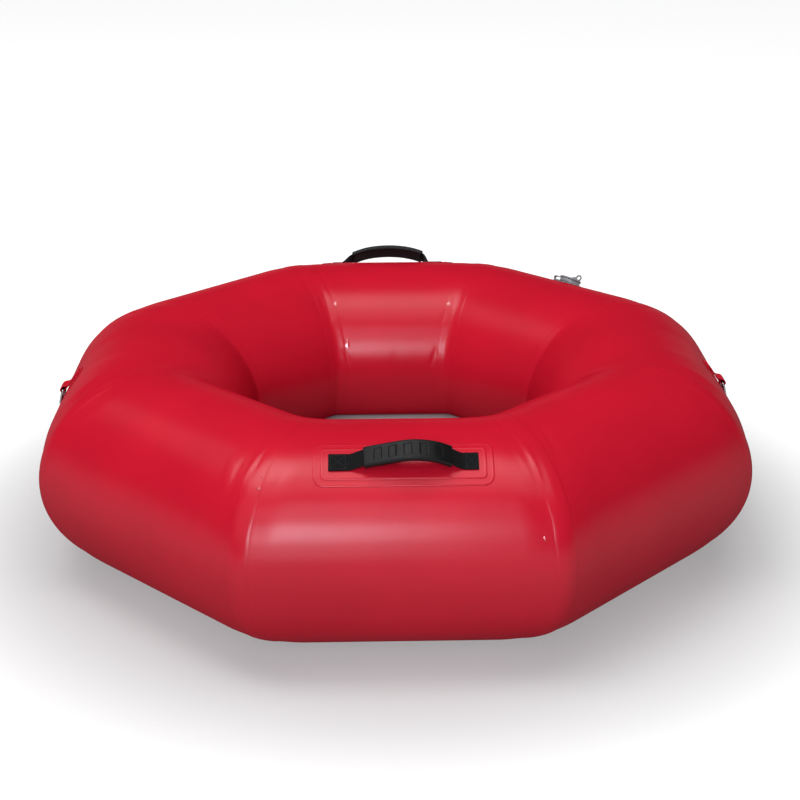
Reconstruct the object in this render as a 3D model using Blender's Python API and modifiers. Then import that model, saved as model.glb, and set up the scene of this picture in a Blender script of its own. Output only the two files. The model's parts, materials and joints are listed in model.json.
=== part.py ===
"""River tube for floating down a river: an inflated ring of eight straight panels, mitred and taped
where they meet, with a sling floor, two carrying handles, two lashing rings and an air valve.

Metres, +Z up. The origin is on the ground under the middle of the ring. The front handle faces -Y.
"""
import math

import bmesh
import bpy
from mathutils import Matrix, Vector

# The inflated ring: its straight panels, their wall and the tapes over the mitres
SIDES = 8
RING_APOTHEM = 0.355
TUBE_RADIUS = 0.145
TUBE_FACETS = 36
WALL = 0.001
GAP = 0.0003
FIT_GAP = 0.0004
THROUGH = 0.020
TAPE_WIDTH = 0.032
TAPE_THICKNESS = 0.0009
SIDE_NAMES = ("front", "front_right", "right", "back_right", "back", "back_left", "left", "front_left")

HALF_CORNER = math.pi / SIDES
TAPE_OUTSIDE = TUBE_RADIUS + FIT_GAP + TAPE_THICKNESS
TUBE_CENTRE_Z = TAPE_OUTSIDE * math.cos(math.pi / TUBE_FACETS)

# The sling floor, its weld strips and its drains
FLOOR_TOP_Z = 0.076
FLOOR_THICKNESS = 0.001
FLOOR_EDGE_GAP = 0.0018
FLOOR_STRIP_WIDTH = 0.030
FLOOR_STRIP_THICKNESS = 0.001
FLOOR_STRIP_END_GAP = 0.002
DRAIN_COUNT = 4
DRAIN_RADIUS_ON_FLOOR = 0.135
DRAIN_BORE_RADIUS = 0.005
DRAIN_BARREL_RADIUS = 0.006
DRAIN_RIM_RADIUS = 0.0095
DRAIN_RIM_THICKNESS = 0.0009
DRAIN_STEPS = 16

# The carrying handles, on the outer shoulder of the front and back panels
HANDLE_THETA = 60.0
HANDLE_CENTRE = 0.003
PATCH_THICKNESS = 0.0008
PATCH_STATION = 0.006
HANDLE_PATCH = (0.225, 0.066, 0.014)
HANDLE_PAD = (0.207, 0.048, 0.006)
STRAP_WIDTH = 0.025
STRAP_THICKNESS = 0.002
STRAP_HALF_SPREAD = 0.0933
STRAP_CORNER = 0.0005
STRAP_STATIONS = 30
GRIP_WIDTH = 0.030
GRIP_THICKNESS = 0.008
GRIP_ROUNDING = 0.0022
GRIP_STATIONS = 15
GRIP_POCKETS = 5
GRIP_POCKET_LENGTH = 0.009
GRIP_POCKET_WIDTH = 0.017
GRIP_POCKET_DEPTH = 0.0012
FRONT_ARCH = ((-0.066, 0.0), (-0.046, 0.0086), (-0.020, 0.0162), (0.012, 0.0235), (0.040, 0.0200),
              (0.062, 0.0090), (0.078, 0.0))
BACK_ARCH = ((-0.068, 0.0), (-0.057, 0.0130), (-0.030, 0.0222), (0.002, 0.0252), (0.035, 0.0217),
             (0.062, 0.0118), (0.082, 0.0))
BACK_LEAN = 18.0

# The lashing rings, hanging on the outer shoulder of the left and right panels
RING_THETA = 27.0
RING_PATCH_RADIUS = 0.040
RING_WIRE_RADIUS = 0.0022
RING_HALF_WIDTH = 0.0152
RING_ARM = 0.010
RING_CORNER = 0.0045
RING_BAR_HALF = 0.0067
RING_BAR_HEIGHT = 0.0075
RING_REST_TILT = 12.5
LOOP_WIDTH = 0.024
LOOP_LAYER = 0.0018
LOOP_TAIL = 0.034
LOOP_TAIL_THICKNESS = 0.0016
LOOP_FOOT = 0.011
LOOP_SHOULDER = 0.008
LOOP_HOLLOW = 0.015
LOOP_FLAT = (0.022, 0.028)

# The air valve, on the back right panel; heights are above the skin, so inner pieces have negative ones
VALVE_STEPS = 24
VALVE_EDGE = 0.001
VALVE_SIDE = 3
VALVE_THETA = 60.0
VALVE_ALONG = 0.008
VALVE_PAD_RADIUS = 0.027
VALVE_PAD_THICKNESS = 0.0012
VALVE_HOLE_RADIUS = 0.0136
GASKET_RADIUS = 0.0195
GASKET_THICKNESS = 0.0012
BARREL_RADIUS = 0.0130
COLLAR_RADIUS = 0.0170
COLLAR_TOP = 0.0080
COLLAR_FOOT = 0.0022
BARREL_FOOT = -0.0180
BORE_RADIUS = 0.0105
SHELF_RADIUS = 0.0089
CAP_SEAT_RADIUS = 0.0125
CAP_SEAT_Z = 0.0010
SEAT_OPENING_RADIUS = 0.0075
SEAT_THICKNESS = 0.0020
SPIDER_TOP = -0.0050
SPIDER_THICKNESS = 0.0020
AIR_HOLES = 6
AIR_HOLE_RADIUS = 0.0021
AIR_HOLE_CIRCLE = 0.0063
ROD_RADIUS = 0.0018
BUTTON_RADIUS = 0.0045
BUTTON_TOP = 0.0040
BUTTON_THICKNESS = 0.0015
BUTTON_EDGE = 0.0006
STEM_FOOT_RADIUS = 0.0060
STEM_FOOT_THICKNESS = 0.0012
SEAL_RADIUS = 0.0095
SEAL_THICKNESS = 0.0014
SPRING_MEAN_RADIUS = 0.0031
SPRING_WIRE_RADIUS = 0.00035
SPRING_TURNS = 5
NUT_RADIUS = 0.0215
NUT_TOP = -0.0048
NUT_THICKNESS = 0.0050
CAP_RADIUS = 0.0182
CAP_THICKNESS = 0.0022
CAP_CROWN = 0.0006
CAP_PLUG_RADIUS = 0.0121
CAP_PLUG_WALL = 0.0016
CAP_PLUG_DEPTH = 0.0050
PULL_RING_RADIUS = 0.0042
PULL_RING_WIRE = 0.0014
PULL_RING_X = -0.0145
TETHER_WIDTH = 0.006
TETHER_THICKNESS = 0.0012
TETHER_REACH = 0.032

RED = (0.60, 0.012, 0.028)
BLACK = (0.010, 0.010, 0.011)
GREY = (0.28, 0.28, 0.29)


def clear_scene():
    for obj in list(bpy.data.objects):
        bpy.data.objects.remove(obj, do_unlink=True)


def make_collection(name):
    collection = bpy.data.collections.new(name)
    bpy.context.scene.collection.children.link(collection)
    return collection


def make_material(name, colour, roughness, metallic=0.0):
    material = bpy.data.materials.new(name)
    material.use_nodes = True
    shader = material.node_tree.nodes["Principled BSDF"]
    shader.inputs["Base Color"].default_value = (*colour, 1.0)
    shader.inputs["Roughness"].default_value = roughness
    shader.inputs["Metallic"].default_value = metallic
    return material


def add_object(name, data, material, matrix=Matrix()):
    obj = bpy.data.objects.new(name, data)
    PARTS.objects.link(obj)
    data.materials.append(material)
    obj.matrix_world = matrix
    return obj


def mesh_from(bm, name, smooth_angle=40.0):
    """Turns a bmesh into a mesh with outward faces, shaded smooth across gentle edges."""
    bmesh.ops.recalc_face_normals(bm, faces=bm.faces)
    mesh = bpy.data.meshes.new(name)
    bm.to_mesh(mesh)
    bm.free()
    mesh.shade_smooth()
    mesh.set_sharp_from_angle(angle=math.radians(smooth_angle))
    return mesh


def loft(bm, rings, wrap=False):
    """Skins closed rings of points one after another, and caps the ends unless they wrap round."""
    rows = [[bm.verts.new(point) for point in ring] for ring in rings]
    pairs = list(zip(rows, rows[1:]))
    if wrap:
        pairs.append((rows[-1], rows[0]))
    for low, high in pairs:
        for i, vert in enumerate(low):
            j = (i + 1) % len(low)
            bm.faces.new((vert, low[j], high[j], high[i]))
    if not wrap:
        bm.faces.new(rows[0])
        bm.faces.new(rows[-1])


def turned(name, profile, steps, material, matrix, closed=False):
    """A profile of (radius, height), running down its outer side, turned about the local Z axis."""
    mesh = bpy.data.meshes.new(name)
    verts = [(radius, 0.0, height) for radius, height in profile]
    edges = [(i, i + 1) for i in range(len(verts) - 1)]
    if closed:
        edges.append((len(verts) - 1, 0))
    mesh.from_pydata(verts, edges, [])
    obj = add_object(name, mesh, material, matrix)
    screw = obj.modifiers.new("turn", "SCREW")
    screw.axis = "Z"
    screw.angle = 2.0 * math.pi
    screw.steps = steps
    screw.render_steps = steps
    screw.use_merge_vertices = True
    screw.merge_threshold = 0.00001
    screw.use_smooth_shade = True
    return obj


def cutter(name, matrix, radius=None, depth=None, size=None, segments=24):
    """A cylinder or box that only cuts other pieces."""
    bm = bmesh.new()
    if size:
        bmesh.ops.create_cube(bm, size=1.0, matrix=Matrix.Diagonal((*size, 1.0)))
    else:
        bmesh.ops.create_cone(bm, cap_ends=True, segments=segments, radius1=radius, radius2=radius,
                              depth=depth)
    obj = bpy.data.objects.new(name, mesh_from(bm, name))
    CUTTERS.objects.link(obj)
    obj.matrix_world = matrix
    obj.hide_render = True
    obj.display_type = "WIRE"
    return obj


def combine(target, tool, operation):
    modifier = target.modifiers.new(tool.name, "BOOLEAN")
    modifier.operation = operation
    modifier.solver = "EXACT"
    modifier.object = tool


# Places on the ring

def corner_matrix(side):
    """Frame of the mitre after a side: X tangent to the ring, Y towards the middle, Z up."""
    turn = Matrix.Rotation(2.0 * math.pi * (side + 0.5) / SIDES, 4, "Z")
    return turn @ Matrix.Translation((0.0, 0.0, TUBE_CENTRE_Z))


def panel_matrix(side):
    """Frame of a panel: X along its centreline, Y towards the middle of the ring, Z up."""
    turn = Matrix.Rotation(2.0 * math.pi * side / SIDES, 4, "Z")
    return turn @ Matrix.Translation((0.0, -RING_APOTHEM, TUBE_CENTRE_Z))


def surface_matrix(side, theta, along=0.0):
    """Frame on the skin: X along the panel, Y up round the tube, Z outward; theta is from level."""
    lean = Matrix.Rotation(math.radians(90.0 - theta), 4, "X")
    centreline = panel_matrix(side) @ Matrix.Translation((along, 0, 0))
    return centreline @ lean @ Matrix.Translation((0, 0, TUBE_RADIUS))


def bend(x, y, z):
    """Wraps a flat point of the surface frame round the tube."""
    angle = y / TUBE_RADIUS
    reach = TUBE_RADIUS + z
    return Vector((x, reach * math.sin(angle), reach * math.cos(angle) - TUBE_RADIUS))


def tube_angles():
    """Angles of the tube's corners, with a flat facet square underneath."""
    return [2.0 * math.pi * (i + 0.5) / TUBE_FACETS - 0.5 * math.pi for i in range(TUBE_FACETS)]


def mitre_distance(radius, angle):
    """Distance along a panel from its middle to the mitre, at a point of the tube's section."""
    return (RING_APOTHEM + radius * math.cos(angle)) * math.tan(HALF_CORNER)


# The inflated ring

def panel_ring(radius, end):
    """One end of a panel's skin, in the panel's frame, a hair short of the mitre plane."""
    points = []
    for angle in tube_angles():
        x = end * (mitre_distance(radius, angle) - 0.5 * GAP)
        points.append(Vector((x, -radius * math.cos(angle), radius * math.sin(angle))))
    return points


def build_panel(side):
    bm = bmesh.new()
    inside = TUBE_RADIUS - WALL
    loft(bm, [panel_ring(TUBE_RADIUS, -1), panel_ring(TUBE_RADIUS, 1),
              panel_ring(inside, 1), panel_ring(inside, -1)], wrap=True)
    name = "panel_" + SIDE_NAMES[side]
    return add_object(name, mesh_from(bm, name), RED_PVC, panel_matrix(side))


def tape_ring(radius, offset):
    """A section of a seam tape: on the mitre, or offset along the panel on either side of it."""
    points = []
    for angle in tube_angles():
        reach = (RING_APOTHEM + radius * math.cos(angle)) / math.cos(HALF_CORNER)
        x = offset * math.cos(HALF_CORNER)
        y = -reach + abs(offset) * math.sin(HALF_CORNER)
        points.append(Vector((x, y, radius * math.sin(angle))))
    return points


def build_seam_tape(side):
    bm = bmesh.new()
    inside = TUBE_RADIUS + FIT_GAP
    half = 0.5 * TAPE_WIDTH
    loft(bm, [tape_ring(TAPE_OUTSIDE, -half), tape_ring(TAPE_OUTSIDE, 0.0), tape_ring(TAPE_OUTSIDE, half),
              tape_ring(inside, half), tape_ring(inside, 0.0), tape_ring(inside, -half)], wrap=True)
    name = "seam_tape_%d" % (side + 1)
    add_object(name, mesh_from(bm, name), RED_TAPE, corner_matrix(side))


# The sling floor

def wall_apothem(z):
    """Distance from the middle to the ring's inner wall at a height, below the widest level."""
    drop = z - TUBE_CENTRE_Z
    return RING_APOTHEM - math.sqrt(TUBE_RADIUS ** 2 - drop ** 2)


def build_floor():
    apothem = wall_apothem(FLOOR_TOP_Z - FLOOR_THICKNESS) - FLOOR_EDGE_GAP
    radius = apothem / math.cos(HALF_CORNER)
    bm = bmesh.new()
    bmesh.ops.create_cone(bm, cap_ends=True, segments=SIDES, radius1=radius, radius2=radius,
                          depth=FLOOR_THICKNESS, matrix=Matrix.Rotation(HALF_CORNER, 4, "Z"))
    place = Matrix.Translation((0.0, 0.0, FLOOR_TOP_Z - 0.5 * FLOOR_THICKNESS))
    floor = add_object("floor_sheet", mesh_from(bm, "floor_sheet"), GREY_PVC, place)
    for number in range(DRAIN_COUNT):
        angle = 2.0 * math.pi * (number + 0.5) / DRAIN_COUNT
        spot = Vector((math.cos(angle), math.sin(angle), 0.0)) * DRAIN_RADIUS_ON_FLOOR
        matrix = Matrix.Translation(spot) @ place
        hole = cutter("drain_hole_%d" % (number + 1), matrix, radius=DRAIN_BARREL_RADIUS + 2.0 * GAP,
                      depth=THROUGH, segments=DRAIN_STEPS)
        combine(floor, hole, "DIFFERENCE")
        build_drain(number, matrix)
    for side in range(SIDES):
        build_floor_strip(side)


def build_drain(number, matrix):
    """A pressed eyelet: a barrel through the sheet with a rim above and below it."""
    face = 0.5 * FLOOR_THICKNESS + GAP
    top = face + DRAIN_RIM_THICKNESS
    soft = DRAIN_RIM_THICKNESS
    profile = [(DRAIN_BORE_RADIUS, top), (DRAIN_RIM_RADIUS - soft, top), (DRAIN_RIM_RADIUS, face),
               (DRAIN_BARREL_RADIUS, face), (DRAIN_BARREL_RADIUS, -face), (DRAIN_RIM_RADIUS, -face),
               (DRAIN_RIM_RADIUS - soft, -top), (DRAIN_BORE_RADIUS, -top)]
    turned("drain_eyelet_%d" % (number + 1), profile, DRAIN_STEPS, STEEL, matrix, closed=True)


def build_floor_strip(side):
    """The strip that welds the floor's edge to one panel, on the inner wall just below the floor."""
    under = FLOOR_TOP_Z - FLOOR_THICKNESS - 2.0 * GAP
    inner = TUBE_RADIUS + FIT_GAP
    outer = inner + FLOOR_STRIP_THICKNESS
    start = math.pi + math.asin((TUBE_CENTRE_Z - under) / outer)
    sweep = FLOOR_STRIP_WIDTH / TUBE_RADIUS
    stations = 6
    rings = []
    for i in range(stations):
        angle = start + sweep * i / (stations - 1)
        half = mitre_distance(outer, angle) - 0.5 * TAPE_WIDTH - FLOOR_STRIP_END_GAP
        ring = []
        for radius, end in ((outer, -1), (outer, 1), (inner, 1), (inner, -1)):
            ring.append(Vector((end * half, -radius * math.cos(angle), radius * math.sin(angle))))
        rings.append(ring)
    bm = bmesh.new()
    loft(bm, rings)
    name = "floor_strip_%d" % (side + 1)
    add_object(name, mesh_from(bm, name), GREY_PVC, panel_matrix(side))


# Patches wrapped round the tube

def build_patch(name, length, width, corner, low, high, material, matrix, centre=0.0, corner_steps=5):
    """A sheet with rounded corners, bent round the tube; low and high are its faces above the skin."""
    straight = 0.5 * width - corner
    turns = [0.5 * math.pi * i / corner_steps for i in range(corner_steps + 1)]
    stops = [straight + corner * math.sin(turn) for turn in turns]
    middle = max(2, round(2.0 * straight / PATCH_STATION))
    inner = [straight * (2.0 * i / middle - 1.0) for i in range(1, middle)]
    tip = (0.05 * corner) ** 2
    rings = []
    for y in [-stop for stop in reversed(stops)] + inner + stops:
        over = max(0.0, abs(y) - straight)
        half = 0.5 * length - corner + math.sqrt(max(corner ** 2 - over ** 2, tip))
        corners = ((-half, low), (half, low), (half, high), (-half, high))
        rings.append([bend(centre + x, y, z) for x, z in corners])
    bm = bmesh.new()
    loft(bm, rings)
    return add_object(name, mesh_from(bm, name), material, matrix)


# The carrying handles

def arch_point(arch, t):
    """A smooth curve through the arch's points: place and slope at t, from 0 to 1."""
    spans = len(arch) - 1
    k = min(int(t * spans), spans - 1)
    u = t * spans - k
    points = [Vector(arch[min(max(i, 0), spans)]) for i in (k - 1, k, k + 1, k + 2)]
    # The strap leaves its sewn ends flat on the pad
    out_slope = 0.5 * (points[2] - points[0]) if k > 0 else Vector((points[2].x - points[1].x, 0.0))
    in_slope = 0.5 * (points[3] - points[1]) if k < spans - 1 else Vector((points[2].x - points[1].x, 0.0))
    place = ((2 * u ** 3 - 3 * u ** 2 + 1) * points[1] + (u ** 3 - 2 * u ** 2 + u) * out_slope
             + (3 * u ** 2 - 2 * u ** 3) * points[2] + (u ** 3 - u ** 2) * in_slope)
    slope = ((6 * u ** 2 - 6 * u) * points[1] + (3 * u ** 2 - 4 * u + 1) * out_slope
             + (6 * u - 6 * u ** 2) * points[2] + (3 * u ** 2 - 2 * u) * in_slope)
    return place, slope.normalized()


def arch_section(arch, t, outline):
    """An outline of (across, thick) points standing square to the arch at t."""
    place, slope = arch_point(arch, t)
    return [Vector((place.x - thick * slope.y, across, place.y + thick * slope.x))
            for across, thick in outline]


def rounded_outline(width, thickness, rounding, corner_steps=3):
    """A closed outline with rounded corners, the same number of points for every size."""
    points = []
    for quarter, (side, up) in enumerate(((1, 1), (-1, 1), (-1, -1), (1, -1))):
        centre = Vector((side * (0.5 * width - rounding), up * (0.5 * thickness - rounding)))
        for i in range(corner_steps):
            angle = 0.5 * math.pi * (quarter + i / (corner_steps - 1))
            points.append(centre + rounding * Vector((math.cos(angle), math.sin(angle))))
    return points


def build_grip(name, arch, matrix):
    """The moulded sleeve on the raised strap: hollow for the strap, with finger pockets on top."""
    spans = len(arch) - 1
    start, end = 1.0 / spans, 1.0 - 1.0 / spans
    stops = [start + (end - start) * i / (GRIP_STATIONS - 1) for i in range(GRIP_STATIONS)]
    outside = rounded_outline(GRIP_WIDTH, GRIP_THICKNESS, GRIP_ROUNDING)
    slot = rounded_outline(STRAP_WIDTH + 2 * GAP, STRAP_THICKNESS + 2 * GAP, STRAP_CORNER)
    rings = [arch_section(arch, t, outside) for t in stops]
    rings += [arch_section(arch, t, slot) for t in reversed(stops)]
    bm = bmesh.new()
    loft(bm, rings, wrap=True)
    grip = add_object(name, mesh_from(bm, name), BLACK_RUBBER, matrix)
    for number in range(GRIP_POCKETS):
        t = start + (end - start) * (number + 1.0) / (GRIP_POCKETS + 1.0)
        place, slope = arch_point(arch, t)
        top = arch_section(arch, t, [Vector((0.0, 0.5 * GRIP_THICKNESS))])[0]
        turn = Matrix.Rotation(-math.atan2(slope.y, slope.x), 4, "Y")
        spot = matrix @ Matrix.Translation(top) @ turn
        size = (GRIP_POCKET_LENGTH, GRIP_POCKET_WIDTH, 2.0 * GRIP_POCKET_DEPTH)
        combine(grip, cutter("%s_pocket_%d" % (name, number + 1), spot, size=size), "DIFFERENCE")


def build_strap_span(name, arch, lean, matrix):
    """The raised webbing between its sewn ends: it twists from each of them into the grip's lean."""
    half, thick = 0.5 * STRAP_WIDTH, 0.5 * STRAP_THICKNESS
    outline = [Vector(p) for p in ((half, thick), (-half, thick), (-half, -thick), (half, -thick))]
    rings = []
    for i in range(STRAP_STATIONS + 1):
        t = i / STRAP_STATIONS
        leg = min(1.0, (len(arch) - 1) * min(t, 1.0 - t))
        twist = Matrix.Rotation(math.radians(lean) * leg * leg * (3.0 - 2.0 * leg), 3, "X")
        rings.append([twist @ point for point in arch_section(arch, t, outline)])
    bm = bmesh.new()
    loft(bm, rings)
    add_object(name, mesh_from(bm, name), BLACK_WEBBING, matrix)


def build_handle(side, where, arch, lean):
    surface = surface_matrix(side, HANDLE_THETA)
    patch_top = FIT_GAP + PATCH_THICKNESS
    pad_low = patch_top + GAP
    pad_top = pad_low + PATCH_THICKNESS
    strap_low = pad_top + GAP
    strap_middle = strap_low + 0.5 * STRAP_THICKNESS
    build_patch(where + "_handle_patch", *HANDLE_PATCH, FIT_GAP, patch_top, RED_PVC, surface, HANDLE_CENTRE)
    build_patch(where + "_handle_pad", *HANDLE_PAD, pad_low, pad_top, RED_PVC, surface, HANDLE_CENTRE)
    for end, root, tag in ((-1, arch[0][0], "first"), (1, arch[-1][0], "second")):
        outer = HANDLE_CENTRE + end * STRAP_HALF_SPREAD
        inner = root + end * GAP
        build_patch("%s_strap_%s_end" % (where, tag), abs(outer - inner), STRAP_WIDTH, STRAP_CORNER,
                    strap_low, strap_low + STRAP_THICKNESS, BLACK_WEBBING, surface,
                    centre=0.5 * (outer + inner), corner_steps=1)
    # The raised span turns about the line through its two roots
    roots = surface @ Matrix.Translation((0, 0, strap_middle))
    build_strap_span(where + "_strap_span", arch, lean, roots)
    build_grip(where + "_grip", arch, roots @ Matrix.Rotation(math.radians(lean), 4, "X"))


# The lashing rings

def ring_path():
    """Half round the ring from the middle of its bar, then mirrored: bar, corner, arm and bow."""
    half = [Vector((0.0, 0.0)), Vector((RING_BAR_HALF, 0.0))]
    for i in range(4):
        angle = 0.5 * math.pi * (1.0 - i / 3.0)
        centre = Vector((RING_HALF_WIDTH - RING_CORNER, -RING_CORNER))
        half.append(centre + RING_CORNER * Vector((math.cos(angle), math.sin(angle))))
    bow = 6
    for i in range(bow):
        angle = -0.5 * math.pi * i / bow
        half.append(Vector((0.0, -RING_ARM)) + RING_HALF_WIDTH * Vector((math.cos(angle), math.sin(angle))))
    tip = [Vector((0.0, -RING_ARM - RING_HALF_WIDTH))]
    return half + tip + [Vector((-p.x, p.y)) for p in reversed(half[1:])]


def build_ring(name, matrix):
    """A bent steel wire ring whose bar is on its local X axis and whose bow hangs along -Y."""
    curve = bpy.data.curves.new(name, "CURVE")
    curve.dimensions = "3D"
    curve.bevel_depth = RING_WIRE_RADIUS
    curve.bevel_resolution = 2
    points = ring_path()
    spline = curve.splines.new("POLY")
    spline.points.add(len(points) - 1)
    for slot, point in zip(spline.points, points):
        slot.co = (point.x, point.y, 0.0, 1.0)
    spline.use_cyclic_u = True
    add_object(name, curve, STEEL, matrix)


def loop_outline():
    """Side view of the folded fabric: tail on the patch, over the bar and back, as (y, z) points."""
    patch_top = FIT_GAP + PATCH_THICKNESS
    low = patch_top + GAP
    radius = RING_WIRE_RADIUS + FIT_GAP + LOOP_LAYER
    outline = [(LOOP_TAIL + (LOOP_FOOT - LOOP_TAIL) * i / 4.0, low) for i in range(5)]
    for i in range(11):
        angle = math.radians(-75.0 - 195.0 * i / 10.0)
        outline.append((radius * math.cos(angle), RING_BAR_HEIGHT + radius * math.sin(angle)))
    tail_top = low + LOOP_TAIL_THICKNESS
    outline += [(LOOP_SHOULDER, RING_BAR_HEIGHT + RING_WIRE_RADIUS),
                (LOOP_HOLLOW, tail_top + LOOP_TAIL_THICKNESS)]
    outline += [(y, tail_top) for y in (*LOOP_FLAT, LOOP_TAIL)]
    return outline


def build_loop(name, surface):
    curve = bpy.data.curves.new(name, "CURVE")
    curve.dimensions = "2D"
    curve.fill_mode = "BOTH"
    curve.extrude = 0.5 * LOOP_WIDTH
    outside = []
    for y, z in loop_outline():
        bent = bend(0.0, y, z)
        outside.append((bent.y, bent.z))
    hole_radius = RING_WIRE_RADIUS + FIT_GAP
    bar = []
    for i in range(14):
        angle = math.pi * i / 7.0
        bar.append((hole_radius * math.cos(angle), RING_BAR_HEIGHT + hole_radius * math.sin(angle)))
    for outline in (outside, bar):
        spline = curve.splines.new("POLY")
        spline.points.add(len(outline) - 1)
        for slot, (y, z) in zip(spline.points, outline):
            slot.co = (y, z, 0.0, 1.0)
        spline.use_cyclic_u = True
    # The outline's X, Y and Z lie along the surface frame's Y, Z and X
    turn = Matrix(((0, 0, 1, 0), (1, 0, 0, 0), (0, 1, 0, 0), (0, 0, 0, 1)))
    add_object(name, curve, RED_TAPE, surface @ turn)


def build_lashing(side, where):
    surface = surface_matrix(side, RING_THETA)
    size = 2.0 * RING_PATCH_RADIUS
    build_patch(where + "_ring_patch", size, size, 0.95 * RING_PATCH_RADIUS, FIT_GAP,
                FIT_GAP + PATCH_THICKNESS, RED_PVC, surface)
    build_loop(where + "_ring_loop", surface)
    tilt = Matrix.Rotation(math.radians(RING_REST_TILT), 4, "X")
    build_ring(where + "_lashing_ring", surface @ Matrix.Translation((0, 0, RING_BAR_HEIGHT)) @ tilt)


# The air valve

def build_bent_washer(name, inner, outer, low, high, material, matrix):
    """A soft round washer with a hole, bent round the tube."""
    middle = 0.5 * (inner + outer)
    section = ((inner, low), (middle, low), (outer, low), (outer, high), (middle, high), (inner, high))
    rings = []
    for radius, z in section:
        ring = []
        for i in range(VALVE_STEPS):
            angle = 2.0 * math.pi * i / VALVE_STEPS
            ring.append(bend(radius * math.cos(angle), radius * math.sin(angle), z))
        rings.append(ring)
    bm = bmesh.new()
    loft(bm, rings, wrap=True)
    add_object(name, mesh_from(bm, name), material, matrix)


def build_valve_body(place):
    """Collar outside, barrel through the skin, a shelf for the spider and a seat at the foot."""
    shelf = SPIDER_TOP - SPIDER_THICKNESS - GAP
    seat = BARREL_FOOT + SEAT_THICKNESS
    profile = [(CAP_SEAT_RADIUS, COLLAR_TOP), (COLLAR_RADIUS - VALVE_EDGE, COLLAR_TOP),
               (COLLAR_RADIUS, COLLAR_TOP - VALVE_EDGE), (COLLAR_RADIUS, COLLAR_FOOT),
               (BARREL_RADIUS, COLLAR_FOOT), (BARREL_RADIUS, BARREL_FOOT),
               (SEAT_OPENING_RADIUS, BARREL_FOOT), (SEAT_OPENING_RADIUS, seat),
               (SHELF_RADIUS, seat), (SHELF_RADIUS, shelf), (BORE_RADIUS, shelf),
               (BORE_RADIUS, CAP_SEAT_Z - VALVE_EDGE), (CAP_SEAT_RADIUS, CAP_SEAT_Z)]
    turned("valve_body", profile, VALVE_STEPS, GREY_PLASTIC, place, closed=True)


def build_valve_spider(place):
    """A guide plate for the stem, with air holes round it."""
    rim = BORE_RADIUS - GAP
    guide = ROD_RADIUS + GAP
    low = SPIDER_TOP - SPIDER_THICKNESS
    profile = [(guide, SPIDER_TOP), (rim, SPIDER_TOP), (rim, low), (guide, low)]
    spider = turned("valve_spider", profile, 20, GREY_PLASTIC, place, closed=True)
    for number in range(AIR_HOLES):
        turn = Matrix.Rotation(2.0 * math.pi * number / AIR_HOLES, 4, "Z")
        spot = place @ turn @ Matrix.Translation((AIR_HOLE_CIRCLE, 0.0, SPIDER_TOP))
        hole = cutter("air_hole_%d" % (number + 1), spot, radius=AIR_HOLE_RADIUS, depth=THROUGH, segments=8)
        combine(spider, hole, "DIFFERENCE")


def build_valve_stem(place):
    """Button, rod and the foot that carries the seal; the spring lifts it shut."""
    under = BUTTON_TOP - BUTTON_THICKNESS
    foot = BARREL_FOOT - GAP - SEAL_THICKNESS - GAP
    sole = foot - STEM_FOOT_THICKNESS
    profile = [(0.0, BUTTON_TOP), (BUTTON_RADIUS - BUTTON_EDGE, BUTTON_TOP),
               (BUTTON_RADIUS, BUTTON_TOP - BUTTON_EDGE), (BUTTON_RADIUS, under), (ROD_RADIUS, under),
               (ROD_RADIUS, foot), (STEM_FOOT_RADIUS, foot), (STEM_FOOT_RADIUS, sole), (0.0, sole)]
    turned("valve_stem", profile, 16, GREY_PLASTIC, place)
    seal_top = BARREL_FOOT - GAP
    hole = ROD_RADIUS + GAP
    seal = [(hole, seal_top), (SEAL_RADIUS, seal_top), (SEAL_RADIUS, seal_top - SEAL_THICKNESS),
            (hole, seal_top - SEAL_THICKNESS)]
    turned("valve_seal", seal, VALVE_STEPS, BLACK_RUBBER, place, closed=True)


def build_valve_spring(place):
    """One unbroken coil between the spider and the button's underside."""
    bottom = SPIDER_TOP + GAP + SPRING_WIRE_RADIUS
    top = BUTTON_TOP - BUTTON_THICKNESS - GAP - SPRING_WIRE_RADIUS
    curve = bpy.data.curves.new("valve_spring", "CURVE")
    curve.dimensions = "3D"
    curve.bevel_depth = SPRING_WIRE_RADIUS
    curve.bevel_resolution = 1
    curve.use_fill_caps = True
    steps = 8 * SPRING_TURNS
    spline = curve.splines.new("POLY")
    spline.points.add(steps)
    for i, slot in enumerate(spline.points):
        turn = 2.0 * math.pi * SPRING_TURNS * i / steps
        height = bottom + (top - bottom) * i / steps
        slot.co = (SPRING_MEAN_RADIUS * math.cos(turn), SPRING_MEAN_RADIUS * math.sin(turn), height, 1.0)
    add_object("valve_spring", curve, STEEL, place)
    pitch = (top - bottom) / SPRING_TURNS
    print("valve spring: least gap between turns %.2f mm" % (1000.0 * (pitch - 2.0 * SPRING_WIRE_RADIUS)))


def build_valve_nut(place):
    """A hexagonal ring nut that clamps the skin from inside the tube."""
    bm = bmesh.new()
    bmesh.ops.create_cone(bm, cap_ends=True, segments=6, radius1=NUT_RADIUS, radius2=NUT_RADIUS,
                          depth=NUT_THICKNESS)
    matrix = place @ Matrix.Translation((0, 0, NUT_TOP - 0.5 * NUT_THICKNESS))
    nut = add_object("valve_nut", mesh_from(bm, "valve_nut"), GREY_PLASTIC, matrix)
    bore = cutter("nut_bore", matrix, radius=BARREL_RADIUS + GAP, depth=THROUGH, segments=VALVE_STEPS)
    combine(nut, bore, "DIFFERENCE")


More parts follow.
